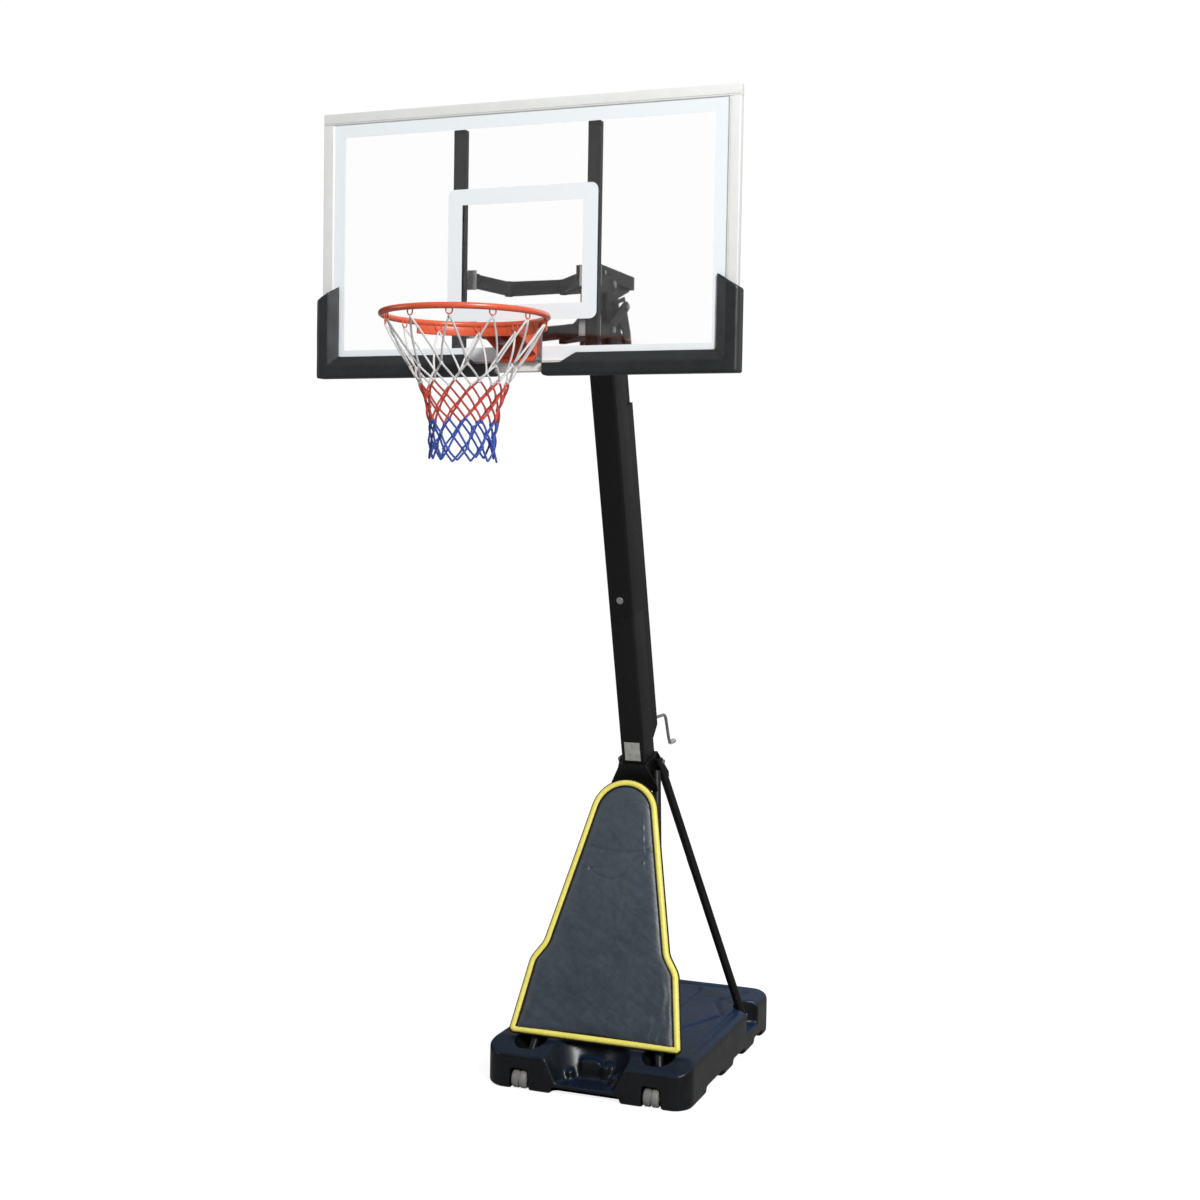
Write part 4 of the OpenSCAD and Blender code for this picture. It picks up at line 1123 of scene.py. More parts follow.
    def cap(self) -> bpy.types.Object:
        """Builds the fill cap: a domed disc with a ribbed rim and a cross bar to turn it by."""
        span = Span.of("fill_cap")
        r = span.size[0] / 2
        base = self.tank.high[2]
        a = np.arange(144) * TURN / 144
        ribbed = (1 + 0.012 * np.cos(36 * a))[:, None] * np.stack([np.cos(a), np.sin(a)], 1)
        levels = ((r, 0.0), (r, 0.006), (r - 0.0015, 0.008), (r - 0.004, 0.009), (r - 0.010, 0.0095),
                  (r - 0.012, 0.0085), (0.012, 0.0085))
        rings = [np.column_stack([k * 0.985 * ribbed, np.full(len(a), base + z)]) for k, z in levels]
        cap = stack("fill_cap_moulding", rings, self.upright(*span.centre[:2]))
        for index, turn in enumerate((0.0, math.pi / 2)):
            u = np.array([math.cos(turn), math.sin(turn), 0.0])
            grip = slab(f"grip_{index}", rounded_outline(0.052, 0.006, 0.0028), base + 0.008,
                        span.high[2] - 0.0002, 0.0015,
                        Place(np.array([*span.centre[:2], 0.0]), u, np.cross([0, 0, 1.0], u),
                              np.array([0, 0, 1.0])))
            join = cap.modifiers.new("join", "BOOLEAN")
            join.operation = "UNION"
            join.object = grip
        baked(cap)
        for index in range(2):
            bpy.data.meshes.remove(bpy.data.meshes[f"grip_{index}"])
        cap.data.set_sharp_from_angle(angle=math.radians(35))
        return cap

    def sand(self) -> bpy.types.Object:
        """Heaps the sand: a flat bed whose top wanders by a few millimetres."""
        x, y = np.linspace(-0.30, 0.30, 61), np.linspace(-0.385, 0.45, 84)
        gx, gy = np.meshgrid(x, y)
        top = 0.062 + 0.002 * np.sin(gx * 31) * np.cos(gy * 23) + 0.001 * np.sin(gx * 71 + gy * 57)
        low = np.full_like(top, 0.032)
        points = np.concatenate([np.stack([gx, gy, z], -1).reshape(-1, 3) for z in (low, top)])
        rows, cols = gx.shape
        quads = grid_quads(rows, cols, False, False)
        index = np.arange(rows * cols).reshape(rows, cols)
        rim = np.concatenate([index[0, :-1], index[:-1, -1], index[-1, :0:-1], index[:0:-1, 0]])
        wall = np.stack([rim, np.roll(rim, -1), np.roll(rim, -1) + index.size, rim + index.size], 1)
        return tidy(mesh_object("ballast_sand_bed", points, np.vstack([quads, quads + index.size, wall])))

    def build(self) -> None:
        """Makes and dresses the tank's pieces."""
        shell = self.shell()
        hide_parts("base_tank")
        dress(shell, TANK_SKIN.material(), "base")
        sand = self.sand()
        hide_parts("ballast_sand")
        dress(sand, SAND.material(), "base")
        cap = self.cap()
        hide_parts("fill_cap")
        dress(cap, CAP_SKIN.material(), "cap")
        for side in ("left", "right"):
            wheel = self.wheel(side)
            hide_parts("wheel_" + side)
            dress(wheel, WHEEL_SKIN.material(), side + "_wheel")
        dress(softened("wheel_axles", 0.0008), ZINC.material(), "base")


# ------------------------------------------------------------------ legs, pole and head

@dataclass
class PoleAndLegs:
    """The leaning pole with its socket, legs, struts, head and fixed lift parts."""

    corner_r: float = 0.009
    sheet_edge: float = 0.0010
    leg_edge: float = 0.0012

    def __post_init__(self) -> None:
        """Reads the pole's direction from the lift's slide."""
        self.along = np.array(joint("jack_travel")["axis"], float)
        self.lean = math.atan2(-self.along[1], self.along[2])

    def pole_part(self, node: str) -> bpy.types.Object:
        """Carries a rounded tube section along one length of the pole."""
        middle, width, depth, length = leaning(node, self.lean)
        half = self.along * length / 2
        part = bar(node + "_tube", rounded_outline(width, depth, self.corner_r, 7), middle - half,
                   middle + half, np.array([1.0, 0, 0]), 0.002)
        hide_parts(node)
        return part

    def build(self) -> None:
        """Makes and dresses the fixed steel."""
        for node in ("pole_lower", "pole_upper"):
            dress(self.pole_part(node), BLACK_COAT.material(), "base")
        for node in ("front_leg_left", "front_leg_right", "rear_strut_left", "rear_strut_right"):
            dress(softened(node, self.leg_edge), BLACK_COAT.material(), "base")
        for node in ("pole_socket", "head_cheek_left", "head_cheek_right", "head_top", "jack_channel",
                     "gear_case"):
            dress(softened(node, self.sheet_edge), BLACK_COAT.material(), "base")
        for node in ("leg_bolts", "pole_bolt", "head_bolts", "arm_pivot_bolts"):
            dress(softened(node, 0.0007, 2), ZINC.material(), "base")
        dress(softened("blank_labels", 0.0002, 1), FOIL.material(), "base")


# ------------------------------------------------------------------ lift

@dataclass
class Lift:
    """The crank with its grip, the push tube with its yoke, and the parallel arms."""

    crank_r: float = 0.006
    peg_r: float = 0.0045
    bend_r: float = 0.026
    arm_edge: float = 0.0030
    plate_edge: float = 0.0010

    def crank(self) -> bpy.types.Object:
        """Bends the crank from one rod: back from the gears, down the arm, and back along the peg."""
        gear = np.array(joint("crank_turn")["pos_m"], float)
        shaft, grip = Span.of("crank_shaft"), Span.of("crank_grip")
        peg = grip.centre
        elbow = np.array([gear[0], gear[1] + 0.238, gear[2]])
        foot = np.array([peg[0], grip.low[1] - 0.008, peg[2]])
        corners = np.array([gear + [0, 0.014, 0], elbow, foot, [peg[0], shaft.high[1] - 0.0005, peg[2]]])
        path = even_steps(rounded_path(corners, self.bend_r, 10), 0.004)
        crank = tubes("crank_rod", path[None], self.crank_r, 16, np.array([1.0, 0.0, 0.0]))
        points = points_of(crank)
        out = points[:, 1] > foot[1] + self.bend_r
        scale = self.peg_r / self.crank_r
        points[out, 0] = peg[0] + (points[out, 0] - peg[0]) * scale
        points[out, 2] = peg[2] + (points[out, 2] - peg[2]) * scale
        set_points(crank, points)
        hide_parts("crank_shaft")
        return crank

    def grip(self) -> bpy.types.Object:
        """Turns the grip: a barrel with seven shallow finger rings and a bore for the peg."""
        span = Span.of("crank_grip")
        r, half = span.size[0] / 2, span.size[1] / 2
        h = np.linspace(-half, half, 57)
        swell = r * (0.90 + 0.07 * np.cos(h / half * math.pi / 2) + 0.022 * np.cos(h / half * math.pi * 7))
        swell *= 1 - 0.22 * np.clip((np.abs(h) - half + 0.004) / 0.004, 0, 1) ** 2
        bore = np.array([[0.0046, half], [0.0046, -half]])
        grip = lathe("crank_grip_barrel", np.vstack([np.column_stack([swell, h]), bore]), span.centre,
                     np.array([0.0, 1.0, 0.0]), 40)
        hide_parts("crank_grip")
        return grip

    def build(self) -> None:
        """Makes and dresses the lift's pieces."""
        dress(self.crank(), ZINC.material(), "crank")
        dress(self.grip(), GRIP_SKIN.material(), "grip")
        for node in ("push_tube", "lift_yoke"):
            dress(softened(node, self.plate_edge), BLACK_COAT.material(), "jack")
        for which in ("lower", "upper"):
            for side in ("left", "right"):
                arm = softened(f"{which}_arm_{side}", self.arm_edge)
                dress(arm, BLACK_COAT.material(), which + "_arms")
        dress(softened("tail_pins", 0.0007, 2), ZINC.material(), "lower_arms")


# ------------------------------------------------------------------ board

@dataclass
class Board:
    """The framed clear board with its pads, back bars and brackets."""

    rail_edge: float = 0.003
    lip: float = 0.0045
    groove: float = 0.0018
    pad_voxel: float = 0.004

    def rail_section(self, width: float, depth: float) -> Array:
        """Section of a frame rail as [across, back]: a rounded channel with a groove near its inner edge.

        Args:
            width: The rail's width; its outer edge is at +width / 2.
            depth: The rail's depth; its face is at -depth / 2.

        Returns:
            A counter-clockwise outline.
        """
        block = rounded_outline(width, depth, self.rail_edge, 5)
        x = -width / 2 + self.lip
        face = -depth / 2
        notch = np.array([[x, face], [x + 0.0004, face + self.groove],
                          [x + 0.0016, face + self.groove], [x + 0.0020, face]])
        at = np.argmax((block[:, 1] < face + 1e-6) & (block[:, 0] > x))
        return np.vstack([block[:at], notch, block[at:]])

    def rail(self, node: str, outward: Array) -> bpy.types.Object:
        """Carries the rail's section along one side of the frame.

        Args:
            node: The rail's frame node.
            outward: Direction from the board's middle to this side.

        Returns:
            The rail.
        """
        span = Span.of(node)
        run = 0 if abs(outward[2]) > 0.5 else 2
        half = np.zeros(3)
        half[run] = span.size[run] / 2
        depth = span.size[1]
        width = span.size[2 - run]
        start, end = span.centre - half, span.centre + half
        if np.cross(unit(end - start), outward)[1] < 0:
            start, end = end, start
        rail = bar(node + "_rail", self.rail_section(width, depth), start, end, outward, 0.0012)
        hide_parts(node)
        return rail

    def pad(self, side: str) -> bpy.types.Object:
        """Moulds an edge pad from its frame solid and lets its faces wander a little.

        Each point moves along Y by 0.5 mm sin(41 x + 13 z) sin(37 z), as thick moulded foam does.
        """
        node = "board_pad_" + side
        pad = softened(node, 0.003, 2, node + "_foam")
        moulded(pad, self.pad_voxel, 2)
        p = points_of(pad)
        p[:, 1] += 0.0005 * np.sin(41 * p[:, 0] + 13 * p[:, 2]) * np.sin(37 * p[:, 2])
        set_points(pad, p)
        return pad

    def build(self) -> None:
        """Makes and dresses the board's pieces."""
        up, right = np.array([0.0, 0, 1]), np.array([1.0, 0, 0])
        for node, outward in (("frame_top", up), ("frame_bottom", -up), ("frame_left", -right),
                              ("frame_right", right)):
            dress(self.rail(node, outward), WHITE_RAIL.material(), "board")
        for side in ("left", "right"):
            dress(self.pad(side), FOAM_SKIN.material(), "board")
            dress(softened("back_bar_" + side, 0.002), BLACK_COAT.material(), "board")
        dress(softened("cross_bars", 0.0015), BLACK_COAT.material(), "board")
        dress(softened("arm_brackets", 0.0008), ZINC.material(), "board")
        dress(softened("bracket_bolts", 0.0007, 2), ZINC.material(), "board")


# ------------------------------------------------------------------ ring and net

@dataclass
class NetRow:
    """One level of knots: its height below the ring, its radius and how far its knots stray."""

    drop: float
    radius: float
    stray: float


@dataclass
class RingAndNet:
    """The ring with its brace, plate, springs and hooks, and the knotted net."""

    hooks: int = 12
    hook_r: float = 0.009
    hook_wire: float = 0.002
    cord_r: float = 0.0031
    knot_r: float = 0.0058
    rows: list[NetRow] = field(default_factory=lambda: [
        NetRow(0.0235, 0.2275, 0.0), NetRow(0.148, 0.150, 0.002), NetRow(0.190, 0.1265, 0.002),
        NetRow(0.225, 0.1130, 0.002), NetRow(0.263, 0.1020, 0.003), NetRow(0.300, 0.0945, 0.003),
        NetRow(0.336, 0.0915, 0.005), NetRow(0.372, 0.0915, 0.006)])
    loop_drop: float = 0.036
    red_from: int = 2
    blue_from: int = 5

    def __post_init__(self) -> None:
        """Reads the ring's middle and radii."""
        ring = Span.of("rim_ring")
        self.centre = ring.centre
        self.rod = ring.size[2] / 2
        self.radius = ring.size[0] / 2 - self.rod
        self.random = np.random.default_rng(7)

    def round_points(self, angle: Array, radius: Array, drop: Array) -> Array:
        """Returns ring centre + (radius cos angle, radius sin angle, -drop)."""
        angle, radius, drop = np.broadcast_arrays(angle, radius, drop)
        return self.centre + np.stack([radius * np.cos(angle), radius * np.sin(angle), -drop], -1)

    def ring(self) -> bpy.types.Object:
        """Bends the ring: a torus of the rod's radius."""
        a = np.arange(160) * TURN / 160
        path = self.round_points(a, np.float64(self.radius), np.float64(0.0))[None]
        ring = tubes("ring_rod", path, self.rod, 20, np.array([0.0, 0.0, 1.0]), closed=True)
        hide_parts("rim_ring")
        return ring

    def brace(self) -> bpy.types.Object:
        """Bends the flat brace under the rear of the ring: a rounded strip carried along an arc."""
        span = Span.of("rim_brace")
        outer = self.radius + 0.001
        half = math.asin(min(1.0, span.size[0] / 2 / outer))
        a = np.linspace(math.pi / 2 - half, math.pi / 2 + half, 72)
        low, high = span.low[2], self.centre[2] - 0.0055
        section = rounded_outline(0.005, high - low, 0.0022, 4)
        r = outer - 0.0025 + section[:, 0]
        z = (low + high) / 2 + section[:, 1]
        points = np.stack([self.centre[0] + r[None] * np.cos(a)[:, None],
                           self.centre[1] + r[None] * np.sin(a)[:, None],
                           np.broadcast_to(z, (len(a), len(z)))], -1)
        count = len(section)
        faces = grid_quads(len(a), count, False, True).tolist()
        faces.append(list(range(count))[::-1])
        faces.append((np.arange(count) + (len(a) - 1) * count).tolist())
        brace = tidy(mesh_object("ring_brace_strip", points, faces))
        brace.data.set_sharp_from_angle(angle=math.radians(40))
        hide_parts("rim_brace")
        return brace

    def hook_loops(self) -> bpy.types.Object:
        """Bends the net hooks: each a U of wire whose ends run up into the ring."""
        turn = (np.arange(self.hooks) + 0.5) * TURN / self.hooks
        a = np.linspace(math.pi, TURN, 13)
        side = np.concatenate([[-self.hook_r], self.hook_r * np.cos(a), [self.hook_r]])
        drop = np.concatenate([[0.003], 0.013 - self.hook_r * np.sin(a), [0.003]])
        out = self.radius - 0.0065
        x, y = np.cos(turn)[:, None], np.sin(turn)[:, None]
        paths = self.centre + np.stack([out * x - side * y, out * y + side * x,
                                        np.broadcast_to(-drop, (self.hooks, len(drop)))], -1)
        radial = np.stack([x, y, 0 * x], -1)
        hooks = tubes("net_hook_wires", paths, self.hook_wire, 10, radial)
        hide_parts("net_hooks")
        return hooks

    def knots(self) -> list[Array]:
        """Places the knots of each row, half a step round from the row above, with some stray.

        Returns:
            For each row, an array of (angle, radius, drop) for each column.
        """
        step = TURN / self.hooks
        found = []
        for k, row in enumerate(self.rows):
            angle = (np.arange(self.hooks) + 0.5 + 0.5 * (k % 2)) * step
            stray = self.random.normal(0.0, 1.0, (3, self.hooks)) * row.stray
            found.append(np.stack([angle + stray[0] / row.radius, row.radius + 0.5 * stray[1],
                                   row.drop + stray[2]], 1))
        return found

    def strands(self, upper: Array, lower: Array, odd: bool) -> Array:
        """Runs two strands from each upper knot to its two lower neighbours.

        A strand moves evenly in angle, radius and drop, and bows out by 2 mm sin(pi s).

        Args:
            upper: Knots of the upper row.
            lower: Knots of the lower row.
            odd: Whether the upper row is half a step round.

        Returns:
            A (2 hooks, points, 3) array of paths.
        """
        s = np.linspace(0, 1, 9)[None, :]
        paths = []
        for way in (0, 1):
            other = np.roll(lower, (-way if odd else 1 - way), axis=0)
            turn = other[:, 0] - upper[:, 0]
            turn = (turn + math.pi) % TURN - math.pi
            angle = upper[:, :1] + turn[:, None] * s
            radius = upper[:, 1:2] + (other - upper)[:, 1:2] * s + 0.002 * np.sin(math.pi * s)
            drop = upper[:, 2:] + (other - upper)[:, 2:] * s
            paths.append(self.round_points(angle, radius + (way - 0.5) * self.cord_r, drop))
        return np.concatenate(paths)

    def loops(self, last: Array) -> Array:
        """Hangs a loose loop between each two neighbours of the last row: drop + loop sin(pi s)."""
        s = np.linspace(0, 1, 15)[None, :]
        other = np.roll(last, -1, axis=0)
        turn = (other[:, 0] - last[:, 0] + math.pi) % TURN - math.pi
        depth = self.loop_drop * self.random.uniform(0.72, 1.0, self.hooks)[:, None]
        flare = self.random.uniform(-0.010, 0.008, self.hooks)[:, None]
        angle = last[:, :1] + turn[:, None] * (s + 0.10 * np.sin(TURN * s))
        radius = last[:, 1:2] + (other - last)[:, 1:2] * s + flare * np.sin(math.pi * s)
        drop = last[:, 2:] + (other - last)[:, 2:] * s + depth * np.sin(math.pi * s) ** 0.8
        return self.round_points(angle, radius, drop)

    def knot_beads(self, name: str, rows: Sequence[Array]) -> bpy.types.Object:
        """Ties the knots: each a small rounded bead, centre + knot_r (sin b cos a, sin b sin a, cos b)."""
        at = self.round_points(*np.concatenate(rows).T)
        a = np.arange(8) * TURN / 8
        b = np.linspace(0.0, math.pi, 6)
        ball = np.stack([np.sin(b)[:, None] * np.cos(a), np.sin(b)[:, None] * np.sin(a),
                         1.25 * np.cos(b)[:, None] + 0 * a], -1)
        points = at[:, None, None, :] + self.knot_r * ball
        quads = grid_quads(6, 8, False, True)
        faces = quads[None] + (np.arange(len(at)) * 48)[:, None, None]
        obj = mesh_object(name, points, faces.reshape(-1, 4))
        ball_uv = np.stack(np.meshgrid(a / TURN, b * self.knot_r), -1).reshape(-1, 2)
        add_uv(obj, np.tile(ball_uv, (len(at), 1)))
        return tidy(obj)

    def net(self, name: str, first: int, last: int, knots: list[Array], beads: range,
            loops: bool = False) -> bpy.types.Object:
        """Makes one colour's band of the net.

        Args:
            name: The piece's name.
            first: Row that its strands start from.
            last: Row that they end at.
            knots: The rows of knots.
            beads: Rows whose knots are of this colour.
            loops: Whether the bottom loops belong to it.

        Returns:
            The band's strands and knots as one piece.
        """
        paths = [self.strands(knots[k], knots[k + 1], k % 2 == 1) for k in range(first, last)]
        parts = [tubes(name, np.concatenate(paths), self.cord_r, 8, self.outward(np.concatenate(paths)))]
        if loops:
            hanging = self.loops(knots[-1])
            parts.append(tubes(name + "_loops", hanging, self.cord_r, 8, self.outward(hanging)))
        parts.append(self.knot_beads(name + "_knots", [knots[k] for k in beads]))
        return joined(parts)

    def outward(self, paths: Array) -> Array:
        """Returns the level direction away from the ring's axis at each path point."""
        level = (paths - self.centre) * [1.0, 1.0, 0.0]
        return unit(level)

    def springs(self) -> list[bpy.types.Object]:
        """Winds the two breakaway springs between the moving plate and the washers."""
        span = Span.of("rim_springs")
        r = span.size[2] / 2
        made = []
        for side, x in (("left", span.low[0] + r), ("right", span.high[0] - r)):
            start = np.array([x, span.high[1], span.centre[2]])
            coil = helix("rim_spring_" + side, start, np.array([0.0, -1.0, 0.0]), span.size[1], r - 0.0016,
                         0.0016, 7.5)
            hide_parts("rim_springs")
            made.append(coil)
        return made

    def build(self) -> None:
        """Makes and dresses the ring's pieces."""
        for piece in (self.ring(), self.brace(), self.hook_loops(), softened("rim_plate", 0.0008)):
            dress(piece, ORANGE.material(), "rim")
        dress(softened("rim_base_plate", 0.0008), ZINC.material(), "board")
        dress(softened("rim_spring_bolts", 0.0007, 2), ZINC.material(), "board")
        span = Span.of("rim_springs")
        for coil in self.springs():
            dress(coil, SPRING_WIRE.material(), "board")
            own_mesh(coil)
        knots = self.knots()
        count = len(knots)
        bands = (("net_white_band", 0, self.red_from, range(1, self.red_from + 1), CORD_WHITE),
                 ("net_red_band", self.red_from, self.blue_from, range(self.red_from + 1, self.blue_from),
                  CORD_RED),
                 ("net_blue_band", self.blue_from, count - 1, range(self.blue_from, count), CORD_BLUE))
        for name, first, last, beads, cord in bands:
            band = self.net(name, first, last, knots, beads, loops=last == count - 1)
            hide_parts("net")
            dress(band, cord.material(), "rim")


def joined(parts: Sequence[bpy.types.Object]) -> bpy.types.Object:
    """Joins several meshes into the first one.

    Args:
        parts: Mesh objects; the first keeps its name.

    Returns:
        The first object.
    """
    bm = bmesh.new()
    for part in parts:
        bm.from_mesh(part.data)
    bm.to_mesh(parts[0].data)
    bm.free()
    for part in parts[1:]:
        bpy.data.meshes.remove(part.data)
    return parts[0]


# ------------------------------------------------------------------ pole pad

@dataclass
class PolePad:
    """The coated-fabric pad in front of the legs, with its piping, trim and straps."""

    sides: list[tuple[float, float]] = field(default_factory=lambda: [
        (0.322, 0.0), (0.279, 0.266), (0.237, 0.327), (0.161, 0.667), (0.123, 0.839)])
    top_r: float = 0.127
    length: float = 0.935
    thick: float = 0.028
    lean: float = math.radians(19.8)
    piping_r: float = 0.0108
    trim_r: float = 0.0036
    around: int = 520
    rings: int = 80
    crown: float = 0.0040
    valley: float = 0.0125
    seam_sink: float = 0.0085

    def __post_init__(self) -> None:
        """Sets the pad's plane: x across, h up the pad, and out towards the front."""
        up = np.array([0.0, math.sin(self.lean), math.cos(self.lean)])
        out = np.array([0.0, -math.cos(self.lean), math.sin(self.lean)])
        foot = np.array([0.0, -0.450, 0.180])
        self.plane = Place(foot, np.array([1.0, 0, 0]), up, out)

    def outline(self, gap: float, corner: float = 0.016) -> Array:
        """Traces the pad's outline, counter-clockwise from the middle of its foot, inset by gap.

        The sides are straight between their points, the corners are rounded, and the top is an arc.

        Args:
            gap: How far inside the pad's edge it runs.
            corner: Radius of the rounding at the corners.

        Returns:
            An (around, 2) array of (x, h) at even steps.
        """
        centre = self.length - self.top_r
        start = math.asin((self.sides[-1][1] - centre) / self.top_r)
        a = np.linspace(start, math.pi / 2, 16)
        arc = np.column_stack([self.top_r * np.cos(a), centre + self.top_r * np.sin(a)])
        corners = np.array([(0.0, 0.0), *self.sides[:-1], tuple(arc[0])])
        flat = rounded_path(np.column_stack([corners, np.zeros(len(corners))]), corner, 8)[:, :2]
        half = np.vstack([flat, arc[1:]])
        whole = np.vstack([half, (half[1:-1] * [-1.0, 1.0])[::-1]])
        looped = np.column_stack([np.vstack([whole, whole[:1]]), np.zeros(len(whole) + 1)])
        closed = even_steps(looped, 0.0015)
        at = np.linspace(0, len(closed) - 1, self.around, endpoint=False)
        even = np.stack([np.interp(at, np.arange(len(closed)), closed[:, k]) for k in (0, 1)], 1)
        return inset(even, gap)

    def seams(self, p: Array) -> Array:
        """Depth of the pressed ball lines at points (x, h): a sum of weight exp(-(d / width)^2)."""
        lines = ((1.0, ((-0.150, 0.697), (0.010, 0.638), (0.165, 0.702))),
                 (1.0, ((-0.100, 0.603), (0.010, 0.515), (0.105, 0.660))),
                 (0.8, ((-0.100, 0.603), (-0.005, 0.602), (0.095, 0.672))),
                 (0.6, ((0.095, 0.672), (0.120, 0.700), (0.150, 0.745))),
                 (0.5, ((-0.080, 0.790), (0.020, 0.905), (0.112, 0.830))))
        return sum(k * np.exp(-(curve_distance(p, bezier(line)) / 0.0042) ** 2) for k, line in lines)

    def ridge(self, p: Array) -> Array:
        """Height of the sharp upright fold that crosses the ball: weight exp(-(d / 3.4 mm)^2)."""
        fold = bezier(((0.080, 0.792), (0.096, 0.700), (0.106, 0.612)))
        broken = 0.6 + 0.4 * np.sin(p[:, 1] * 150.0)
        return broken * np.exp(-(curve_distance(p, fold) / 0.0034) ** 2)

    def creases(self, p: Array) -> Array:
        """Height of the soft creases at points (x, h), in metres.

        Upright folds near the lower right corner are sine waves across x. Their phase and height wander,
        and they fade with distance. Slow waves of two directions stand for the sheet's slack elsewhere.
        """
        x, h = p[:, 0], p[:, 1]
        fade = np.exp(-((x - 0.245) / 0.040) ** 2 - ((h - 0.08) / 0.13) ** 2)
        uneven = 190 * x + 9 * h + 1.3 * np.sin(23 * h + 31 * x) + 0.9 * np.sin(57 * h)
        folds = 0.0026 * fade * (0.6 + 0.4 * np.sin(29 * h + 60 * x)) * np.sin(uneven)
        left = np.exp(-((x + 0.25) / 0.05) ** 2 - ((h - 0.05) / 0.08) ** 2)
        folds += 0.0012 * left * np.sin(120 * x - 60 * h)
        slack = 0.0011 * np.sin(17 * x + 9 * h + 1.0) * np.sin(11 * h - 5 * x)
        slack += 0.0005 * np.sin(46 * x + 30 * h) * np.cos(23 * h - 31 * x)
        near_middle = np.exp(-((h - 0.5) / 0.10) ** 2)
        mid = 0.0016 * np.exp(-((x - 0.035 - 0.05 * (h - 0.5)) / 0.010) ** 2) * near_middle
        return folds + slack + mid

    def cover(self) -> bpy.types.Object:
        """Makes the padded body: rings of points that shrink from the outline to its mid-line.

        Ring t is m + (1 - t) (o - m), where o is the outline and m the nearest point of the upright
        mid-line. The front stays low beside the piping, where the seam lies, then rises as
        crown (1 - exp(-d / 13 mm)), d being the distance in from that valley, with seams and creases
        added; the back is nearly flat.
        """
        edge = self.outline(self.piping_r * 0.9)
        middle = np.column_stack([np.zeros(len(edge)), np.clip(edge[:, 1], 0.12, self.length - self.top_r)])
        t = np.linspace(0, 1, self.rings) ** 1.15
        flat = middle[None] + (1 - t)[:, None, None] * (edge - middle)[None]
        p = flat.reshape(-1, 2)
        d = np.linalg.norm(flat - edge[None], axis=-1).reshape(-1)
        inner = 1 - np.exp(-d / 0.020)
        rise = np.maximum(d - self.valley, 0.0)
        front = -self.seam_sink + (self.seam_sink + self.crown) * (1 - np.exp(-rise / 0.013))
        front += inner * (self.creases(p) - 0.0036 * self.seams(p) + 0.0028 * self.ridge(p))
        back_rings = t[:: 8]
        back = middle[None] + (1 - back_rings)[:, None, None] * (edge - middle)[None]
        back_d = np.linalg.norm(back - edge[None], axis=-1).reshape(-1)
        back_w = -self.thick + 0.006 * np.exp(-back_d / 0.01)
        local = np.vstack([np.column_stack([p, front]), np.column_stack([back.reshape(-1, 2), back_w])])
        n = self.around
        fronts = grid_quads(self.rings, n, False, True)
        backs = grid_quads(len(back_rings), n, False, True)[:, ::-1] + self.rings * n
        rim = np.arange(n)
        side = np.stack([rim, rim + self.rings * n, np.roll(rim, -1) + self.rings * n, np.roll(rim, -1)], 1)
        faces = np.vstack([fronts, backs, side])
        obj = tidy(mesh_object("pole_pad_cover", self.plane.carry(local), faces), 2e-5)
        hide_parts("pole_pad")
        return obj

    def edge_tube(self, name: str, gap: float, w: float, radius: float, sides: int) -> bpy.types.Object:
        """Sews a round cord along the pad's edge.

        Args:
            name: The piece's name.
            gap: How far inside the pad's edge its middle runs.
            w: Its height towards the front.
            radius: Its radius.
            sides: Points round it.

        Returns:
            The cord.
        """
        line = self.outline(gap)[:: 2]
        path = self.plane.carry(np.column_stack([line, np.full(len(line), w)]))
        return tubes(name, path[None], radius, sides, self.plane.w, closed=True)

    def build(self) -> None:
        """Makes and dresses the pad's pieces."""
        dress(self.cover(), VINYL.material(), "base")
        piping = self.edge_tube("pole_pad_piping", self.piping_r, -0.0088, self.piping_r, 16)
        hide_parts("pad_piping")
        dress(piping, YELLOW.material(), "base")
        outer = self.edge_tube("pole_pad_trim", -0.0012, -0.0125, self.trim_r, 8)
        # The inner black cord stands for the shadow line between the piping and the cover: painted shade.
        inner = self.edge_tube("pole_pad_shade_line", 2 * self.piping_r + 0.0012, -0.0056, self.trim_r, 8)
        trim_and_shade_line = joined([outer, inner])
        dress(trim_and_shade_line, BLACK_TRIM_AND_SHADE_LINE.material(), "base")
        dress(softened("pad_straps", 0.0012, 2), STRAP.material(), "base")


# ------------------------------------------------------------------ scene

NODE_FINISH = {
    "tank_plastic": TANK_SKIN, "sand": SAND, "cap_plastic": CAP_SKIN, "wheel_plastic": WHEEL_SKIN,
    "zinc_steel": ZINC, "spring_steel": SPRING_WIRE, "black_steel": BLACK_COAT, "bronze": BRONZE,
    "grip_plastic": GRIP_SKIN, "label_foil": FOIL, "pad_vinyl": VINYL, "piping_yellow": YELLOW,
    "webbing": STRAP, "frame_aluminium": WHITE_RAIL, "clear_board": CLEAR, "white_print": WHITE_PRINT,
    "board_pad_foam": FOAM_SKIN, "ring_orange": ORANGE, "net_cord": CORD_WHITE}


def dress_nodes() -> None:
    """Gives every frame node, shown or hidden, the finish of its slot in the record."""
    for part in frame["record"]["subparts"]:
        node = frame["nodes"][part["node"]]
        finish = NODE_FINISH[part["material_slot"]]
        if isinstance(finish, Cord):
            finish = WEB_SHELL
        if not node.material_slots:
            node.data.materials.append(None)
        for holder in node.material_slots:
            holder.link = "OBJECT"
            holder.material = finish.material()


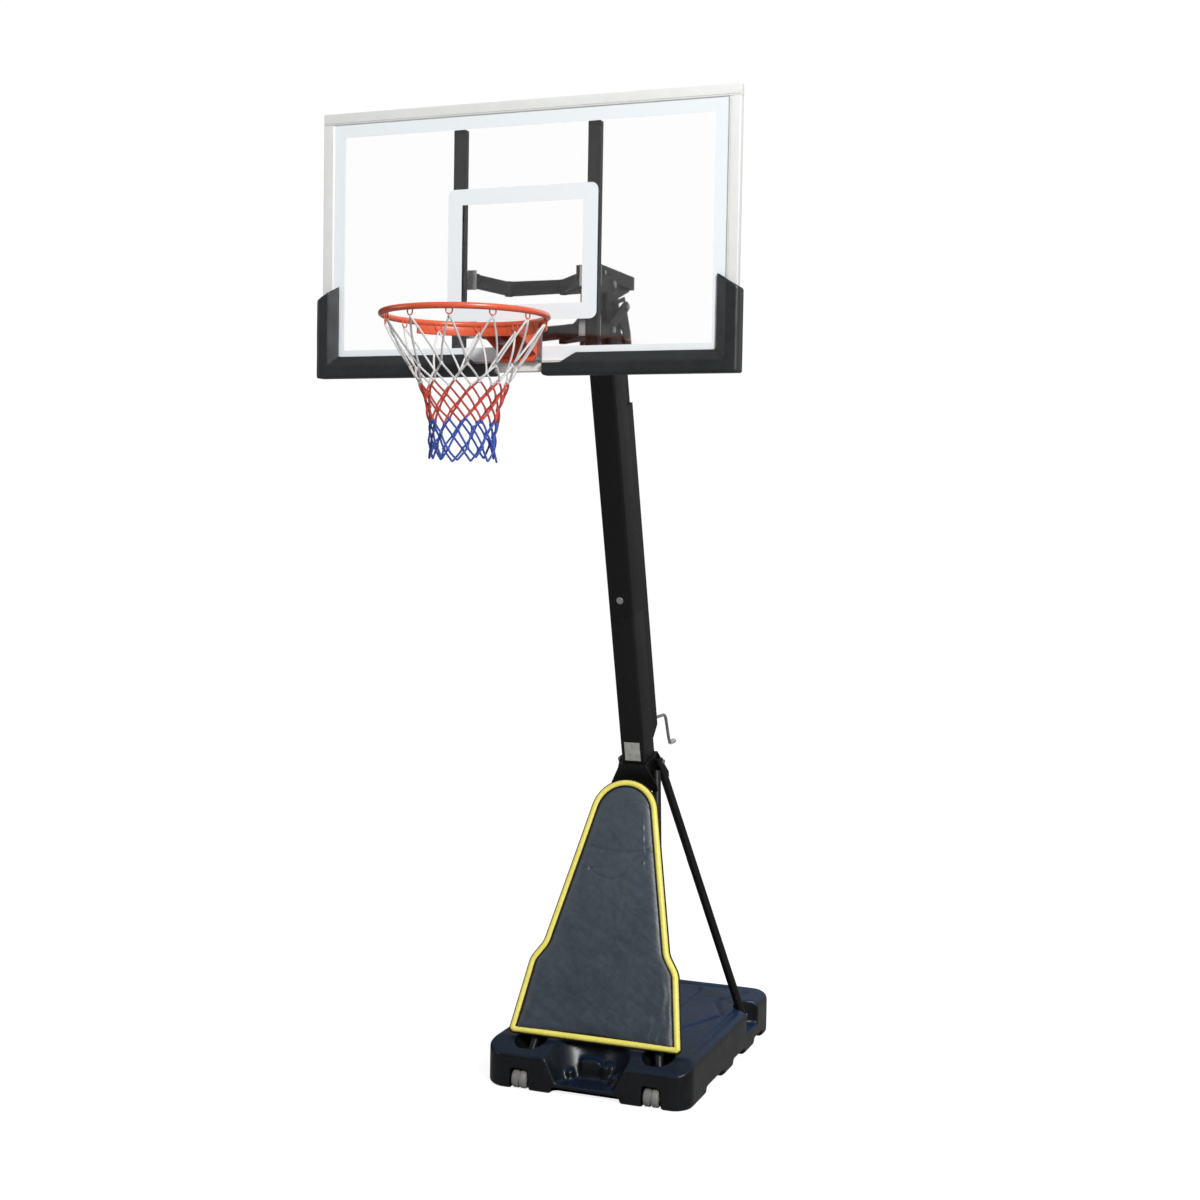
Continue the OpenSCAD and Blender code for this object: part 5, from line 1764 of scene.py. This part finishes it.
@dataclass
class Studio:
    """The white floor, the soft lights and the camera."""

    eye: tuple[float, float, float] = (2.0854, -5.9035, 2.0162)
    azimuth: float = 0.3651
    dip: float = 0.0491
    roll: float = 0.0170
    lens: float = 50.76
    sensor: float = 36.0
    room: float = 0.62
    floor_glow: float = 0.86
    bright_side: tuple[float, float, float] = (0.62, 0.10, 0.78)

    def camera(self) -> None:
        """Sets the camera: level direction from the azimuth, then dipped and rolled."""
        data = bpy.data.cameras.new("view")
        data.lens = self.lens
        data.sensor_width = self.sensor
        data.clip_end = 60.0
        obj = bpy.data.objects.new("view", data)
        bpy.context.collection.objects.link(obj)
        ca, sa = math.cos(self.azimuth), math.sin(self.azimuth)
        cd, sd = math.cos(self.dip), math.sin(self.dip)
        ahead = Vector((-sa * cd, ca * cd, -sd))
        level = Vector((ca, sa, 0.0))
        above = level.cross(ahead)
        cr, sr = math.cos(self.roll), math.sin(self.roll)
        right = level * cr + above * sr
        up = above * cr - level * sr
        turn = Matrix((right, up, -ahead)).transposed().to_4x4()
        obj.matrix_world = Matrix.Translation(self.eye) @ turn
        bpy.context.scene.camera = obj

    def floor(self) -> None:
        """Lays a pale floor far beyond the base."""
        reach = 40.0
        corners = np.array([[-reach, -reach, 0], [reach, -reach, 0], [reach, reach, 0], [-reach, reach, 0]])
        obj = mesh_object("studio_floor", corners - [0, 0, 0.0005], [[0, 1, 2, 3]], False)
        mat = bpy.data.materials.new("pale_floor")
        mat.use_nodes = True
        g = Graph(mat.node_tree)
        noise = g.add("ShaderNodeTexNoise", {"Vector": g.add("ShaderNodeTexCoord").outputs["Object"],
                                             "Scale": 0.8})
        tone = g.add("ShaderNodeMapRange", {"Value": noise.outputs["Fac"], "To Min": 0.34, "To Max": 0.36})
        seen = g.add("ShaderNodeLightPath").outputs["Is Camera Ray"]
        glow = g.add("ShaderNodeMath", {0: seen, 1: self.floor_glow}, operation="MULTIPLY")
        shader = g.add("ShaderNodeBsdfPrincipled", {
            "Base Color": tone.outputs[0], "Roughness": 0.9, "Specular IOR Level": 0.0,
            "Emission Color": (1.0, 1.0, 1.0, 1.0), "Emission Strength": glow.outputs[0]})
        out = g.add("ShaderNodeOutputMaterial")
        g.tree.links.new(shader.outputs[0], out.inputs[0])
        obj.data.materials.append(mat)

    def lamp(self, name: str, at: Sequence[float], towards: Sequence[float], size: float,
             power: float) -> None:
        """Hangs one large square lamp.

        Args:
            name: Its name.
            at: Its place.
            towards: The point it faces.
            size: Its side.
            power: Its power in watts.
        """
        data = bpy.data.lights.new(name, "AREA")
        data.size = size
        data.energy = power
        obj = bpy.data.objects.new(name, data)
        bpy.context.collection.objects.link(obj)
        obj.location = at
        obj.rotation_euler = (Vector(towards) - Vector(at)).to_track_quat("-Z", "Y").to_euler()

    def sky(self) -> None:
        """Fills the surroundings: white where they are seen, and for lighting bright above and to the
        right, dark in front.

        The lighting level rises evenly with the direction's share along the bright side.
        """
        world = bpy.data.worlds.new("white_room")
        bpy.context.scene.world = world
        world.use_nodes = True
        g = Graph(world.node_tree)
        path = g.add("ShaderNodeLightPath")
        seen = g.add("ShaderNodeMath", {0: path.outputs["Is Camera Ray"],
                                        1: path.outputs["Is Transmission Ray"]}, operation="MAXIMUM")
        share = g.add("ShaderNodeVectorMath", {0: g.add("ShaderNodeTexCoord").outputs["Generated"],
                                               1: unit(np.array(self.bright_side)).tolist()},
                      operation="DOT_PRODUCT")
        light = g.add("ShaderNodeMapRange", {"Value": share.outputs["Value"], "From Min": -0.35,
                                             "From Max": 1.0, "To Min": 0.04, "To Max": self.room})
        level = g.add("ShaderNodeMix", {"Factor": seen.outputs[0], 2: light.outputs[0], 3: 1.02})
        back = g.add("ShaderNodeBackground", {"Color": (1.0, 1.0, 1.0, 1.0), "Strength": level.outputs[0]})
        out = g.add("ShaderNodeOutputWorld")
        g.tree.links.new(back.outputs[0], out.inputs[0])

    def build(self) -> None:
        """Makes the whole studio."""
        self.camera()
        self.floor()
        self.sky()
        self.lamp("key", (7.2, -8.2, 7.6), (0.0, -0.6, 1.6), 2.6, 1250.0)
        self.lamp("fill", (-6.0, -4.0, 3.0), (0.0, -0.5, 1.4), 3.0, 60.0)
        bpy.context.scene.view_settings.view_transform = "Standard"


def main() -> None:
    """Builds the studio and every sub-assembly in order."""
    logging.basicConfig(level=logging.INFO, format="%(message)s")
    dress_nodes()
    Studio().build()
    for assembly in (BaseTank(), PoleAndLegs(), Lift(), Board(), RingAndNet(), PolePad()):
        LOG.info("building %s", type(assembly).__name__)
        assembly.build()


if __name__ == "__main__":
    main()
